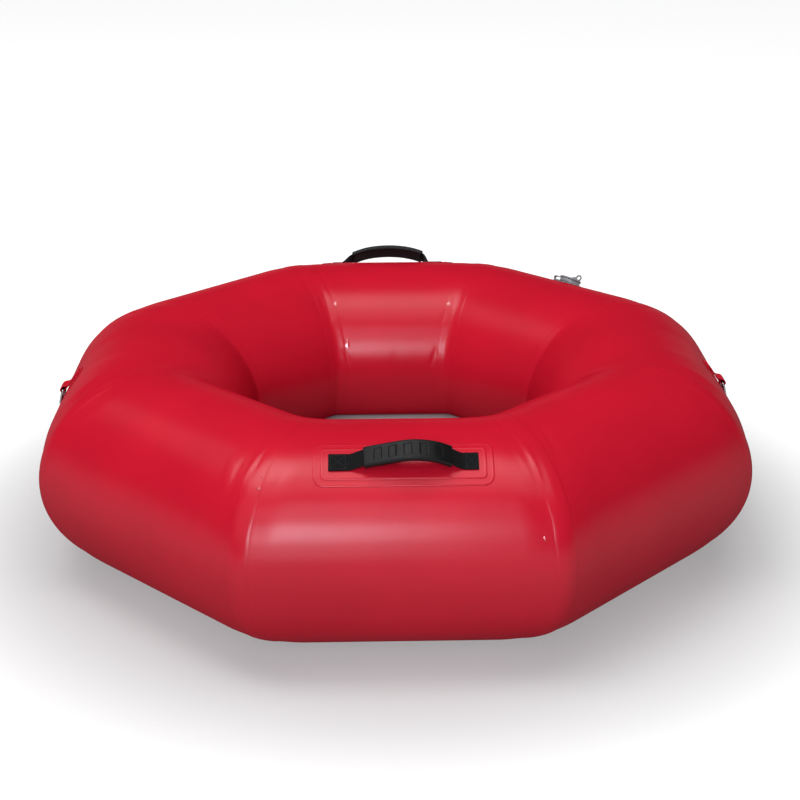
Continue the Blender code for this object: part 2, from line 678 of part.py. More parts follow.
def build_valve_cap(place):
    """A plug cap with a crowned top, pulled out by the small finger ring that stands on its edge."""
    low = COLLAR_TOP + GAP
    top = low + CAP_THICKNESS
    inside = CAP_PLUG_RADIUS - CAP_PLUG_WALL
    foot = low - CAP_PLUG_DEPTH
    lead = 0.5 * VALVE_EDGE
    profile = [(0.0, top + CAP_CROWN), (0.5 * CAP_RADIUS, top + 0.75 * CAP_CROWN),
               (CAP_RADIUS - VALVE_EDGE, top), (CAP_RADIUS, top - VALVE_EDGE), (CAP_RADIUS, low),
               (CAP_PLUG_RADIUS, low), (CAP_PLUG_RADIUS, foot + lead), (CAP_PLUG_RADIUS - lead, foot),
               (inside, foot), (inside, low), (0.0, low)]
    cap = turned("valve_cap", profile, VALVE_STEPS, GREY_PLASTIC, place)
    bpy.ops.mesh.primitive_torus_add(major_radius=PULL_RING_RADIUS, minor_radius=PULL_RING_WIRE,
                                     major_segments=18, minor_segments=6)
    ring = bpy.context.object
    ring.name = "pull_ring"
    for collection in list(ring.users_collection):
        collection.objects.unlink(ring)
    CUTTERS.objects.link(ring)
    upright = Matrix.Rotation(0.5 * math.pi, 4, "X")
    ring.matrix_world = place @ Matrix.Translation((PULL_RING_X, 0, top + PULL_RING_RADIUS)) @ upright
    ring.hide_render = True
    ring.display_type = "WIRE"
    combine(cap, ring, "UNION")


def build_valve_tether(place):
    """The strap that keeps the cap: out from its edge and back under itself to the collar."""
    top_z = COLLAR_TOP + GAP + 0.5 * CAP_THICKNESS
    low_z = COLLAR_FOOT + TETHER_THICKNESS
    bow = 0.5 * (top_z - low_z)
    centre_z = 0.5 * (top_z + low_z)
    path = [(CAP_RADIUS + GAP, top_z), (TETHER_REACH - bow, top_z)]
    for i in range(1, 8):
        angle = 0.5 * math.pi - math.pi * i / 8
        path.append((TETHER_REACH - bow + bow * math.cos(angle), centre_z + bow * math.sin(angle)))
    path += [(TETHER_REACH - bow, low_z), (COLLAR_RADIUS + GAP, low_z)]
    half, thick = 0.5 * TETHER_WIDTH, 0.5 * TETHER_THICKNESS
    rings = []
    for i, (x, z) in enumerate(path):
        before, after = path[max(i - 1, 0)], path[min(i + 1, len(path) - 1)]
        slope = Vector((after[0] - before[0], after[1] - before[1])).normalized()
        corners = ((half, thick), (-half, thick), (-half, -thick), (half, -thick))
        rings.append([Vector((x - t * slope.y, across, z + t * slope.x)) for across, t in corners])
    bm = bmesh.new()
    loft(bm, rings)
    add_object("valve_tether", mesh_from(bm, "valve_tether"), GREY_PLASTIC, place)


def build_valve(panel):
    place = surface_matrix(VALVE_SIDE, VALVE_THETA, VALVE_ALONG)
    hole = cutter("valve_hole", place, radius=VALVE_HOLE_RADIUS, depth=THROUGH, segments=VALVE_STEPS)
    combine(panel, hole, "DIFFERENCE")
    build_bent_washer("valve_pad", VALVE_HOLE_RADIUS, VALVE_PAD_RADIUS, FIT_GAP,
                      FIT_GAP + VALVE_PAD_THICKNESS, GREY_PVC, place)
    gasket_top = -WALL - 2.0 * FIT_GAP
    build_bent_washer("valve_gasket", VALVE_HOLE_RADIUS, GASKET_RADIUS, gasket_top - GASKET_THICKNESS,
                      gasket_top, BLACK_RUBBER, place)
    build_valve_body(place)
    build_valve_spider(place)
    build_valve_stem(place)
    build_valve_spring(place)
    build_valve_nut(place)
    build_valve_cap(place)
    build_valve_tether(place)


clear_scene()
PARTS = make_collection("river_tube")
CUTTERS = make_collection("cutters")
RED_PVC = make_material("red_pvc", RED, 0.35)
RED_TAPE = make_material("red_tape", RED, 0.40)
GREY_PVC = make_material("grey_pvc", GREY, 0.45)
GREY_PLASTIC = make_material("grey_plastic", GREY, 0.40)
BLACK_WEBBING = make_material("black_webbing", BLACK, 0.80)
BLACK_RUBBER = make_material("black_rubber", BLACK, 0.60)
STEEL = make_material("stainless_steel", (0.60, 0.60, 0.60), 0.20, 1.0)

panels = [build_panel(side) for side in range(SIDES)]
for side in range(SIDES):
    build_seam_tape(side)
build_floor()
build_handle(0, "front", FRONT_ARCH, 0.0)
build_handle(4, "back", BACK_ARCH, BACK_LEAN)
build_lashing(2, "right")
build_lashing(6, "left")
build_valve(panels[VALVE_SIDE])
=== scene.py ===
"""Looks of the river tube: coated fabric, webbing, moulded grips, steel rings and the air valve,
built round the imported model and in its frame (metres, +Z up, the front handle faces -Y).
"""
import json
import math

import bmesh
import bpy
import numpy as np
from mathutils import Euler, Matrix, Vector

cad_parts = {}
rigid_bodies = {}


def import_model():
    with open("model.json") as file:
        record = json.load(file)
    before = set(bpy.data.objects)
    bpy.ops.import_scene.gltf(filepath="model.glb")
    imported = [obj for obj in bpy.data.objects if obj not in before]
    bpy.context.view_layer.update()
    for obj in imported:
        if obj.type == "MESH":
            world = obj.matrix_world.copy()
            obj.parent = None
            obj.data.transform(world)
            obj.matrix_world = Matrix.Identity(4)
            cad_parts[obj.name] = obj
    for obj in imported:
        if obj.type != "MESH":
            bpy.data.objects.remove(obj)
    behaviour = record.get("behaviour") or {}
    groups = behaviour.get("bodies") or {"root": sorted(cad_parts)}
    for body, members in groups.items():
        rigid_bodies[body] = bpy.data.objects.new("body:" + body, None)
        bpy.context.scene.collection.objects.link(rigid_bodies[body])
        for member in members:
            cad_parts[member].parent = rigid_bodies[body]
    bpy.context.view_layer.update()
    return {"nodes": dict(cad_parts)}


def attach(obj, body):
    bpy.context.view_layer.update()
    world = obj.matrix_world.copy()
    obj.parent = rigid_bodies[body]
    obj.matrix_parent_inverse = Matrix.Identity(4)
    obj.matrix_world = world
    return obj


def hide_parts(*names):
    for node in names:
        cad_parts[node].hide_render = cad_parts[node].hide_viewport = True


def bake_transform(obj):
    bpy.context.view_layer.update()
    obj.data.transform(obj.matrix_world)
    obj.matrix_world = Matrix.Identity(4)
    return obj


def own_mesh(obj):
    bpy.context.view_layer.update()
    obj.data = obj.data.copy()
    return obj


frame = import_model()

# The ring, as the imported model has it
SIDES = 8
HALF_CORNER = math.pi / SIDES
RING_APOTHEM = 0.355
TUBE_RADIUS = 0.145
TUBE_FACETS = 36
FIT_GAP = 0.0004
GAP = 0.0003
TAPE_WIDTH = 0.032
TAPE_THICKNESS = 0.0009
TUBE_CENTRE_Z = (TUBE_RADIUS + FIT_GAP + TAPE_THICKNESS) * math.cos(math.pi / TUBE_FACETS)
SKIN_THICKNESS = 0.001
SIDE_NAMES = ("front", "front_right", "right", "back_right", "back", "back_left", "left", "front_left")

# Dressed shape of the ring: how far the mitres are drawn in on the outside, the top and the inside, and
# the fullness of the two side panels, with the stretches along a panel over which it grows and fades
CORNER_PULL = 0.0044
CORNER_PULL_TOP = 0.0106
CORNER_PULL_INSIDE = 0.0016
CORNER_REACH = 0.055
FULL_SIDES = (2, 6)
FULLNESS = 0.0012
FULLNESS_BESIDE_RING = 0.0032
FULLNESS_GROWS = (0.038, 0.070)
FULLNESS_FADES = (0.125, 0.188)

# The camera, solved from the outline of the ring in the photograph
CAMERA_DISTANCE = 2.4819
CAMERA_ELEVATION = 22.214
CAMERA_AZIMUTH = -1.0886
CAMERA_LENS = 73.94
CAMERA_AIM = (0.9341, -0.1975, -0.2374)

RED = (0.60, 0.0087, 0.0265)
BLACK = (0.0045, 0.0047, 0.0050)
GREY = (0.28, 0.28, 0.29)
# The steel is darker than bare stainless: painted shade standing in for the dark surroundings it reflects
STEEL = (0.27, 0.25, 0.25)
COAT_WEIGHT = 0.082
COAT_IOR = 3.0
WEAVE_PITCH = 0.0009
WEBBING_RIB = 0.0016
WEBBING_THREAD = 0.0022

UP = Vector((0.0, 0.0, 1.0))


# Node helpers

def feed(tree, socket, source):
    """Links a source to a socket, or sets the socket where the source is a plain value."""
    if isinstance(source, bpy.types.NodeSocket):
        tree.links.new(source, socket)
    else:
        socket.default_value = source


def add(tree, kind, *sources, **values):
    """A new node: values go to sockets or properties by name, sources to the first sockets in order."""
    node = tree.nodes.new("ShaderNode" + kind)
    for key, value in values.items():
        if key in node.inputs:
            feed(tree, node.inputs[key], value)
        else:
            setattr(node, key, value)
    for socket, source in zip(node.inputs, sources):
        feed(tree, socket, source)
    return node


def result(tree, operation, *sources):
    """The result of a Math node."""
    return add(tree, "Math", *sources, operation=operation).outputs[0]


def noise(tree, where, scale, detail, roughness=0.5):
    return add(tree, "TexNoise", where, Scale=scale, Detail=detail, Roughness=roughness).outputs["Fac"]


def ramp(tree, source, *stops):
    """A pattern turned into colours by two (place, colour) stops."""
    node = add(tree, "ValToRGB", source)
    for element, (place, colour) in zip(node.color_ramp.elements, stops):
        element.position = place
        element.color = (*colour, 1.0)
    return node.outputs["Color"]


def shade(colour, share):
    return [min(1.0, share * c) for c in colour]


def grey(value):
    return (value, value, value)


def bump(tree, **values):
    return add(tree, "Bump", **values).outputs["Normal"]


# Materials: each is kept in LOOKS under its name

LOOKS = {}


def new_look(name):
    """Starts a material and returns its node tree."""
    material = bpy.data.materials.new(name)
    material.use_nodes = True
    LOOKS[name] = material
    return material.node_tree


def places_on(tree):
    """The places on the piece, which its patterns follow."""
    return add(tree, "TexCoord").outputs["Object"]


def set_shader(tree, values):
    """Sets or feeds the shader's sockets by name."""
    for name, value in values.items():
        feed(tree, tree.nodes["Principled BSDF"].inputs[name], value)


def coated_fabric(name, colour, roughness):
    """PVC-coated polyester: the base cloth's weave just reads through a glossy skin."""
    tree = new_look(name)
    where = places_on(tree)
    blotch = noise(tree, where, scale=7.0, detail=3.0, roughness=0.55)
    scuff = noise(tree, where, scale=34.0, detail=6.0, roughness=0.7)
    ripple = noise(tree, where, scale=16.0, detail=2.0)
    threads = [add(tree, "TexWave", where, Scale=math.pi / (10.0 * WEAVE_PITCH), Distortion=0.6,
                   bands_direction=axis).outputs["Fac"] for axis in "XYZ"]
    cloth = result(tree, "ADD", result(tree, "ADD", threads[0], threads[1]), threads[2])
    weave = bump(tree, Strength=0.07, Distance=0.00006, Height=cloth)
    relief = bump(tree, Strength=0.12, Distance=0.0012, Height=ripple, Normal=weave)
    set_shader(tree, {
        "Base Color": ramp(tree, blotch, (0.30, shade(colour, 0.93)), (0.70, shade(colour, 1.04))),
        "Roughness": ramp(tree, scuff, (0.35, grey(roughness - 0.03)), (0.72, grey(roughness + 0.06))),
        "Normal": relief,
        "Coat Normal": relief,
        "Specular IOR Level": 0.0,
        "Coat Weight": COAT_WEIGHT,
        "Coat IOR": COAT_IOR,
        "Coat Roughness": roughness,
    })


def webbing(name, colour):
    """Flat woven webbing: ribs across, threads along, from the strap's own length and width."""
    tree = new_look(name)
    strap = add(tree, "SeparateXYZ", add(tree, "UVMap", uv_map="strap").outputs["UV"]).outputs
    waves = [result(tree, "SINE", result(tree, "MULTIPLY", strap[axis], 2.0 * math.pi / pitch))
             for axis, pitch in (("X", WEBBING_RIB), ("Y", WEBBING_THREAD))]
    height = result(tree, "MULTIPLY_ADD", result(tree, "MULTIPLY", *waves), 0.5, 0.5)
    set_shader(tree, {
        # The colour follows the weave's height: painted shade in its hollows and painted light on its crests
        "Base Color": ramp(tree, height, (0.0, shade(colour, 0.45)), (1.0, shade(colour, 1.5))),
        "Normal": bump(tree, Strength=0.7, Distance=0.0003, Height=height),
        "Roughness": 0.72,
        "Specular IOR Level": 0.12,
        "Sheen Weight": 0.02,
    })


def moulded(name, colour, roughness, grain=0.0006, strength=0.15, specular=0.5):
    """Moulded rubber or plastic with a fine spark-eroded grain and slightly rubbed high spots."""
    tree = new_look(name)
    where = places_on(tree)
    speck = noise(tree, where, scale=1.0 / grain, detail=2.0)
    blotch = noise(tree, where, scale=90.0, detail=4.0)
    set_shader(tree, {
        "Base Color": ramp(tree, blotch, (0.3, shade(colour, 0.88)), (0.7, shade(colour, 1.12))),
        "Roughness": ramp(tree, blotch, (0.3, grey(roughness - 0.05)), (0.75, grey(roughness + 0.06))),
        "Normal": bump(tree, Strength=strength, Distance=0.0001, Height=speck),
        "Specular IOR Level": specular,
    })


def polished_steel(name, colour):
    """Stainless wire: drawn along its length, with faint scratches."""
    tree = new_look(name)
    where = places_on(tree)
    scratch = noise(tree, where, scale=900.0, detail=4.0, roughness=0.7)
    set_shader(tree, {
        "Base Color": ramp(tree, scratch, (0.3, shade(colour, 0.9)), (0.7, colour)),
        "Roughness": ramp(tree, scratch, (0.3, grey(0.12)), (0.75, grey(0.30))),
        "Normal": bump(tree, Strength=0.08, Distance=0.00005, Height=scratch),
        "Metallic": 1.0,
    })


coated_fabric("red_pvc", RED, 0.25)
coated_fabric("red_tape", RED, 0.25)
coated_fabric("grey_pvc", GREY, 0.42)
webbing("black_webbing", BLACK)
moulded("black_thread", shade(BLACK, 1.6), 0.6, grain=0.0002, strength=0.3)
moulded("black_rubber", BLACK, 0.46, specular=0.20)
moulded("grey_plastic", GREY, 0.38, grain=0.0004, strength=0.08)
polished_steel("stainless_steel", STEEL)
moulded("clear_sealant", RED, 0.12, grain=0.002, strength=0.03)
set_shader(LOOKS["clear_sealant"].node_tree, {"Coat Weight": 1.0, "Coat Roughness": 0.06})


# Mesh helpers

def circle(steps):
    """Evenly spaced angles round a circle."""
    return [2.0 * math.pi * i / steps for i in range(steps)]


def unit(angle):
    """The flat unit vector at an angle."""
    return Vector((math.cos(angle), math.sin(angle)))


def new_object(name, data):
    obj = bpy.data.objects.new(name, data)
    bpy.context.scene.collection.objects.link(obj)
    return obj


def add_piece(name, mesh, look, body, *nodes, smooth=40.0):
    """A piece that rides on a body, unless it will be blended, and stands for the nodes it names."""
    mesh.shade_smooth()
    mesh.set_sharp_from_angle(angle=math.radians(smooth))
    mesh.materials.append(LOOKS[look])
    obj = new_object(name, mesh)
    if body:
        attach(obj, body)
    if nodes:
        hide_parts(*nodes)
    return obj


def thicken(obj, thickness):
    """Gives a sheet its thickness, behind its face."""
    wall = obj.modifiers.new("wall", "SOLIDIFY")
    wall.thickness = thickness
    wall.offset = -1.0


def grid_faces(rows, columns, wrap_rows=False, wrap_columns=False, offset=0):
    """Quads between neighbouring points of a grid numbered row by row."""
    faces = []
    for i in range(rows if wrap_rows else rows - 1):
        low, high = offset + i * columns, offset + ((i + 1) % rows) * columns
        for j in range(columns if wrap_columns else columns - 1):
            k = (j + 1) % columns
            faces.append((low + j, low + k, high + k, high + j))
    return faces


def fan_faces(tip, first, steps):
    """Triangles from a point to the ring of points that starts at first."""
    return [(tip, first + j, first + (j + 1) % steps) for j in range(steps)]


def tube_faces(rows, columns, closed=False, offset=0):
    """Faces of a tube whose sections are the rows: joined end to end, or capped."""
    faces = grid_faces(rows, columns, wrap_rows=closed, wrap_columns=True, offset=offset)
    if not closed:
        faces += [tuple(range(end, end + columns)) for end in (offset, offset + (rows - 1) * columns)]
    return faces


def face_outwards(bm, mesh):
    bmesh.ops.recalc_face_normals(bm, faces=bm.faces)
    bm.to_mesh(mesh)
    bm.free()
    return mesh


def mesh_of(name, points, faces):
    mesh = bpy.data.meshes.new(name)
    mesh.from_pydata([tuple(p) for p in points], [], faces)
    bm = bmesh.new()
    bm.from_mesh(mesh)
    return face_outwards(bm, mesh)


def loft_mesh(name, rings, closed=False, uvs=None):
    """Skins rings of points; uvs, one (along, across) for each point, go to the map 'strap'."""
    points = [point for ring in rings for point in ring]
    mesh = mesh_of(name, points, tube_faces(len(rings), len(rings[0]), closed))
    if uvs is not None:
        layer = mesh.uv_layers.new(name="strap")
        for loop in mesh.loops:
            layer.data[loop.index].uv = uvs[loop.vertex_index]
    return mesh


def wire_mesh(name, centres, outward, radius, sides, place, closed=True):
    """A round wire along its centres; each section lies in the plane of its outward side and local Z."""
    rings = [[place @ (centre + radius * (math.cos(a) * out + math.sin(a) * UP)) for a in circle(sides)]
             for centre, out in zip(centres, outward)]
    return loft_mesh(name, rings, closed)


def turned_mesh(name, profile, place, closed=False, steps=96):
    """A profile of (radius, height) turned about the local Z axis; points on the axis are shared."""
    bm = bmesh.new()
    rings = []
    for radius, height in profile:
        ring = [place @ (radius * unit(a).to_3d() + height * UP) for a in circle(steps)]
        rings.append([bm.verts.new(point) for point in (ring if radius > 0.0 else ring[:1])])
    for low, high in zip(rings, rings[1:] + (rings[:1] if closed else [])):
        for i in range(steps):
            j = (i + 1) % steps
            corners = [low[i % len(low)], low[j % len(low)], high[j % len(high)], high[i % len(high)]]
            unique = list(dict.fromkeys(corners))
            if len(unique) > 2:
                bm.faces.new(unique)
    return face_outwards(bm, bpy.data.meshes.new(name))


def rounded_profile(corners, radius, closed=True):
    """Rounds the corners of a turned profile; a corner given as (r, z, own radius) keeps its own."""
    steps = 4
    points = []
    for i, corner in enumerate(corners):
        place = Vector(corner[:2])
        own = corner[2] if len(corner) > 2 else radius
        if own <= 0.0 or (not closed and i in (0, len(corners) - 1)):
            points.append(tuple(place))
            continue
        before = Vector(corners[i - 1][:2]) - place
        after = Vector(corners[(i + 1) % len(corners)][:2]) - place
        reach = min(own, 0.45 * before.length, 0.45 * after.length)
        start = place + before.normalized() * reach
        end = place + after.normalized() * reach
        for t in (k / steps for k in range(steps + 1)):
            points.append(tuple((1 - t) ** 2 * start + 2 * t * (1 - t) * place + t * t * end))
    return points


def flat_outline(width, thickness, rounding, across=10, corner=4):
    """A flat section with rounded edges as (across, thick) points, closed."""
    points = []
    for number, (side, up) in enumerate(((1, 1), (-1, 1), (-1, -1), (1, -1))):
        centre = Vector((side * (0.5 * width - rounding), up * (0.5 * thickness - rounding)))
        points += [centre + rounding * unit(0.5 * math.pi * (number + i / corner)) for i in range(corner + 1)]
        if side * up > 0:
            run = width - 2.0 * rounding
            points += [points[-1] - Vector((side * run * j / across, 0.0)) for j in range(1, across)]
    return points


def directions(path, closed=False):
    """The direction of a path at each of its points, from the points before and after."""
    last = len(path) - 1
    around = [(i - 1, (i + 1) % len(path)) if closed else (max(i - 1, 0), min(i + 1, last))
              for i in range(len(path))]
    return [(path[after] - path[before]).normalized() for before, after in around]


def beside(place, slope, across, thick):
    """A point of a section square to a path in side view, where a place is (x, z)."""
    return Vector((place.x - thick * slope.y, across, place.y + thick * slope.x))


# Places on the ring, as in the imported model

def panel_matrix(side):
    """Frame of a panel: X along its centreline, Y towards the middle of the ring, Z up."""
    turn = Matrix.Rotation(2.0 * math.pi * side / SIDES, 4, "Z")
    return turn @ Matrix.Translation((0.0, -RING_APOTHEM, TUBE_CENTRE_Z))


def surface_matrix(side, theta, along=0.0, lift=0.0):
    """Frame on the skin: X along the panel, Y up round the tube, Z outward; theta is from level."""
    lean = Matrix.Rotation(math.radians(90.0 - theta), 4, "X")
    centreline = panel_matrix(side) @ Matrix.Translation((along, 0, 0))
    return centreline @ lean @ Matrix.Translation((0, 0, TUBE_RADIUS + lift))


def mitre_distance(phi, radius=TUBE_RADIUS):
    """How far the mitre is from a panel's middle, at an angle round the tube."""
    return (RING_APOTHEM + radius * np.cos(phi)) * math.tan(HALF_CORNER)


def smoothstep(low, high, value):
    t = np.clip((value - low) / (high - low), 0.0, 1.0)
    return t * t * (3.0 - 2.0 * t)


# Puckers that the photograph shows beside the four mitres in view: distance from the mitre (negative on
# the panel before it), angle round the tube, length, slant, width and height
SEEN_PUCKERS = {
    0: ((-0.0110, 57.0, 0.060, 0.09, 0.0035, 0.0006), (-0.0240, 56.0, 0.050, -0.03, 0.0038, 0.0005),
        (-0.0170, 39.0, 0.078, 0.00, 0.0130, -0.0010)),
    7: ((-0.0028, 63.0, 0.045, 0.03, 0.0032, -0.0005), (-0.0125, 55.0, 0.075, 0.23, 0.0040, 0.0006),
        (-0.0290, 51.0, 0.042, 0.08, 0.0045, -0.0007), (-0.0420, 50.0, 0.060, 0.00, 0.0070, 0.0004),
        (-0.0540, 53.0, 0.050, 0.00, 0.0060, -0.0004), (-0.0660, 52.0, 0.045, 0.02, 0.0070, -0.0004)),
    4: ((-0.0045, 129.0, 0.060, 0.00, 0.0032, -0.0005), (-0.0170, 143.0, 0.018, 0.00, 0.0038, -0.0006),
        (-0.0170, 166.0, 0.028, -0.39, 0.0040, -0.0006)),
    3: ((0.0145, 140.0, 0.022, 0.00, 0.0036, -0.0006), (0.0210, 167.0, 0.030, 0.28, 0.0040, -0.0006),
        (0.0830, 169.0, 0.034, 0.00, 0.0050, -0.0003)),
}
CHANCE_PUCKERS = 12
CHANCE_PUCKER_HEIGHT = 0.0006
CHANCE_SEED = 100


def chance_puckers(mitre):
    """Light puckers beside one mitre, deepest where the skin is gathered, on its top and inner side."""
    chance = np.random.default_rng(CHANCE_SEED + mitre)
    puckers = []
    for _ in range(CHANCE_PUCKERS):
        theta = chance.uniform(-180.0, 180.0)
        around = math.radians(theta)
        gathered = 0.35 + 0.65 * smoothstep(-0.2, 0.9, math.sin(around) - 0.25 * math.cos(around))
        side = chance.choice((-1.0, 1.0))
        puckers.append((side * chance.uniform(0.020, 0.048), theta, chance.uniform(0.035, 0.085),
                        side * chance.uniform(-0.20, 0.30), chance.uniform(0.0042, 0.0075),
                        gathered * chance.uniform(-1.0, 0.5) * CHANCE_PUCKER_HEIGHT))
    return puckers


PUCKERS = {mitre: list(SEEN_PUCKERS.get(mitre, ())) + chance_puckers(mitre) for mitre in range(SIDES)}


def pucker_height(mitre, signed, phi):
    """How far the puckers of one mitre lift the skin, at a signed distance from it."""
    lift = np.zeros_like(signed)
    for place, theta, length, slant, width, height in PUCKERS[mitre]:
        around = TUBE_RADIUS * ((phi - math.radians(theta) + math.pi) % (2.0 * math.pi) - math.pi)
        across = (signed - place - slant * around) / width
        lift = lift + height * np.exp(-across ** 2 - (around / (0.5 * length)) ** 4)
    return lift


def skin(side, along, phi, lift=0.0):
    """Points on the dressed skin of a panel, as an array: along is from its middle, phi from level."""
    along, phi = np.broadcast_arrays(np.asarray(along, float), np.asarray(phi, float))
    outward = np.cos(phi)
    radius = TUBE_RADIUS + lift + np.zeros_like(along)
    if side in FULL_SIDES:
        reach = np.abs(along)
        full = FULLNESS + (FULLNESS_BESIDE_RING - FULLNESS) * smoothstep(*FULLNESS_GROWS, reach)
        radius = radius + full * (1.0 - smoothstep(*FULLNESS_FADES, reach)) * smoothstep(-0.1, 0.8, outward)
    for end in (-1, 1):
        distance = mitre_distance(phi) - end * along
        radius = radius + pucker_height(side if end > 0 else (side - 1) % SIDES, -end * distance, phi)
    x, y, z = along, -radius * outward, radius * np.sin(phi)
    pull = CORNER_PULL_TOP + (CORNER_PULL - CORNER_PULL_TOP) * outward ** 2
    inside = smoothstep(-0.05, -0.90, outward)
    rounding = (pull + (CORNER_PULL_INSIDE - pull) * inside) / math.sin(HALF_CORNER)
    for end in (-1, 1):
        distance = np.abs(mitre_distance(phi, radius) - end * along)
        cut = np.sqrt(distance ** 2 + rounding ** 2) - distance
        cut = cut * math.sin(HALF_CORNER) * smoothstep(CORNER_REACH, 0.4 * CORNER_REACH, distance)
        x = x - end * cut * math.sin(HALF_CORNER)
        y = y + cut * math.cos(HALF_CORNER)
    matrix = np.array(panel_matrix(side))
    return np.stack([x, y, z], axis=-1) @ matrix[:3, :3].T + matrix[:3, 3]


# The inflated ring

STATIONS_BESIDE = 32
STATIONS_BETWEEN = 13
SHARE_BESIDE = 0.36
ROUND_STATIONS = 144
TAPE_STATIONS = 240
TAPE_FOOT = 0.00005
TAPE_TOP = 0.00045
# Half of the tape's section, from its edge to its middle: share of the half width and of the thickness
TAPE_SECTION = ((-1.0, 0.10), (-0.97, 0.25), (-0.92, 0.50), (-0.86, 0.75), (-0.79, 0.92), (-0.72, 0.99),
                (-0.62, 1.0), (-0.5, 1.0), (-0.36, 1.0), (-0.24, 1.0), (-0.14, 1.0), (-0.06, 1.0), (0.0, 1.0))
TAPE_UNDERSIDE = (1.0, 0.5, 0.2, 0.0, -0.2, -0.5, -1.0)


def panel_grid(side):
    """Points of a panel's skin, close together in the stretch beside each mitre, where it puckers."""
    beside_mitre = np.linspace(1.0, 1.0 - SHARE_BESIDE, STATIONS_BESIDE, endpoint=False)
    between = np.linspace(1.0 - SHARE_BESIDE, 0.0, STATIONS_BETWEEN, endpoint=False)
    half = np.concatenate([beside_mitre, between])
    spread = np.concatenate([-half, [0.0], half[::-1]])
    phi = np.linspace(-math.pi, math.pi, ROUND_STATIONS, endpoint=False)
    return skin(side, spread[:, None] * (mitre_distance(phi)[None, :] - 0.5 * GAP), phi)


def build_panel(side):
    points = panel_grid(side)
    name = "skin_" + SIDE_NAMES[side]
    mesh = mesh_of(name, points.reshape(-1, 3), grid_faces(*points.shape[:2], wrap_columns=True))
    thicken(add_piece(name, mesh, "red_pvc", "root", "panel_" + SIDE_NAMES[side]), SKIN_THICKNESS)


def build_tape(side):
    """The seam tape: a bonded strip with feathered edges that follows the mitre and its corner."""
    phi = np.linspace(-math.pi, math.pi, TAPE_STATIONS, endpoint=False)
    wander = 0.0005 * np.sin(9.0 * phi + side) + 0.0004 * np.sin(23.0 * phi + 2.0 * side)
    section = [(share, TAPE_FOOT + (TAPE_TOP - TAPE_FOOT) * rise) for share, rise in TAPE_SECTION]
    section += [(-share, lift) for share, lift in reversed(section[:-1])]
    section += [(share, TAPE_FOOT) for share in TAPE_UNDERSIDE]
    rows = []
    for share, lift in section:
        offset = share * (0.5 * TAPE_WIDTH + wander)
        home, end = (side, 1) if share <= 0 else ((side + 1) % SIDES, -1)
        along = end * (mitre_distance(phi, TUBE_RADIUS + lift) - np.abs(offset))
        rows.append(skin(home, along, phi, lift))
    number = side + 1
    name = f"bonded_tape_{number}"
    mesh = mesh_of(name, np.concatenate(rows), tube_faces(len(rows), TAPE_STATIONS, closed=True))
    add_piece(name, mesh, "red_tape", "root", f"seam_tape_{number}")


# Smears of clear sealant that catch the light: panel, end of it, distance from the mitre, angle round the
# tube, width, length round the tube and height
SMEARS = (
    (4, 1, 0.0205, 157.0, 0.0070, 0.0150, 0.0003),
    (4, 1, 0.0180, 130.0, 0.0034, 0.0100, 0.0002),
    (4, -1, 0.0125, 131.0, 0.0060, 0.0085, 0.0003),
    (4, -1, 0.0120, 156.0, 0.0026, 0.0140, 0.0002),
    (0, -1, 0.0100, 52.0, 0.0045, 0.0035, 0.0005),
    (0, -1, 0.0110, 46.0, 0.0062, 0.0042, 0.0006),
    (0, 1, 0.0280, 20.5, 0.0036, 0.0070, 0.0003),
)
SMEAR_TURNS = 28
SMEAR_RINGS = 8
SMEAR_UNDERSIDE = (0.9, 0.45)


def build_smears():
    """Low lenses with an uneven rim, on the tape or on the skin just beside it."""
    points, faces = [], []
    turn = np.array(circle(SMEAR_TURNS))
    for number, (side, end, inset, theta, wide, tall, height) in enumerate(SMEARS):
        middle = math.radians(theta)
        along = end * (mitre_distance(middle) - inset)
        low = GAP + (TAPE_TOP if inset < 0.5 * TAPE_WIDTH else 0.0)
        rim = 1.0 + 0.12 * np.sin(3.0 * turn + number) + 0.07 * np.sin(5.0 * turn + 2.0 * number)
        shares = [(i + 1) / SMEAR_RINGS for i in range(SMEAR_RINGS)]
        rings = [(share, low + height * (1.0 - share ** 2) ** 1.5) for share in shares]
        rings += [(share, low) for share in SMEAR_UNDERSIDE]
        first = len(points)
        points.append(skin(side, along, middle, low + height))
        for share, lift in rings:
            x = along + 0.5 * wide * share * rim * np.cos(turn)
            y = 0.5 * tall * share * rim * np.sin(turn)
            points.extend(skin(side, x, middle + y / TUBE_RADIUS, lift))
        last = len(points)
        points.append(skin(side, along, middle, low))
        faces += fan_faces(first, first + 1, SMEAR_TURNS)
        faces += grid_faces(len(rings), SMEAR_TURNS, wrap_columns=True, offset=first + 1)
        faces += fan_faces(last, last - SMEAR_TURNS, SMEAR_TURNS)
    mesh = mesh_of("sealant_smears", points, faces)
    add_piece("sealant_smears", mesh, "clear_sealant", "root", smooth=60.0)


# Sheets welded on the skin

PATCH_THICKNESS = 0.0008
EDGE_ROUNDING = 0.00035
BEAD = 0.0002
BEAD_INSET = 0.0022
BEAD_WIDTH = 0.0009
# Distances from a sheet's edge at which it has points, close together where the weld bead is
EDGE_POINTS = (0.0, 0.0003, 0.0009, 0.0015, 0.0021, 0.0027, 0.0034, 0.0045, 0.0065)
ROUND_PATCH_STEPS = 96
ROUND_PATCH_RINGS = 8
SMALLEST_HOLE = 0.0002


def edge_stations(half, step=0.005):
    """Stations across a sheet, from edge to edge."""
    inside = half - EDGE_POINTS[-1]
    count = max(2, round(2.0 * inside / step))
    middle = [inside * (2.0 * i / count - 1.0) for i in range(1, count)]
    return np.array([d - half for d in EDGE_POINTS] + middle + [half - d for d in reversed(EDGE_POINTS)])


def bead_lift(depth):
    """Height of a welded edge over the sheet: a soft outer corner and a low bead just inside it."""
    corner = -0.6 * PATCH_THICKNESS * np.exp(-(depth / EDGE_ROUNDING) ** 2)
    return corner + BEAD * np.exp(-((depth - BEAD_INSET) / BEAD_WIDTH) ** 2)


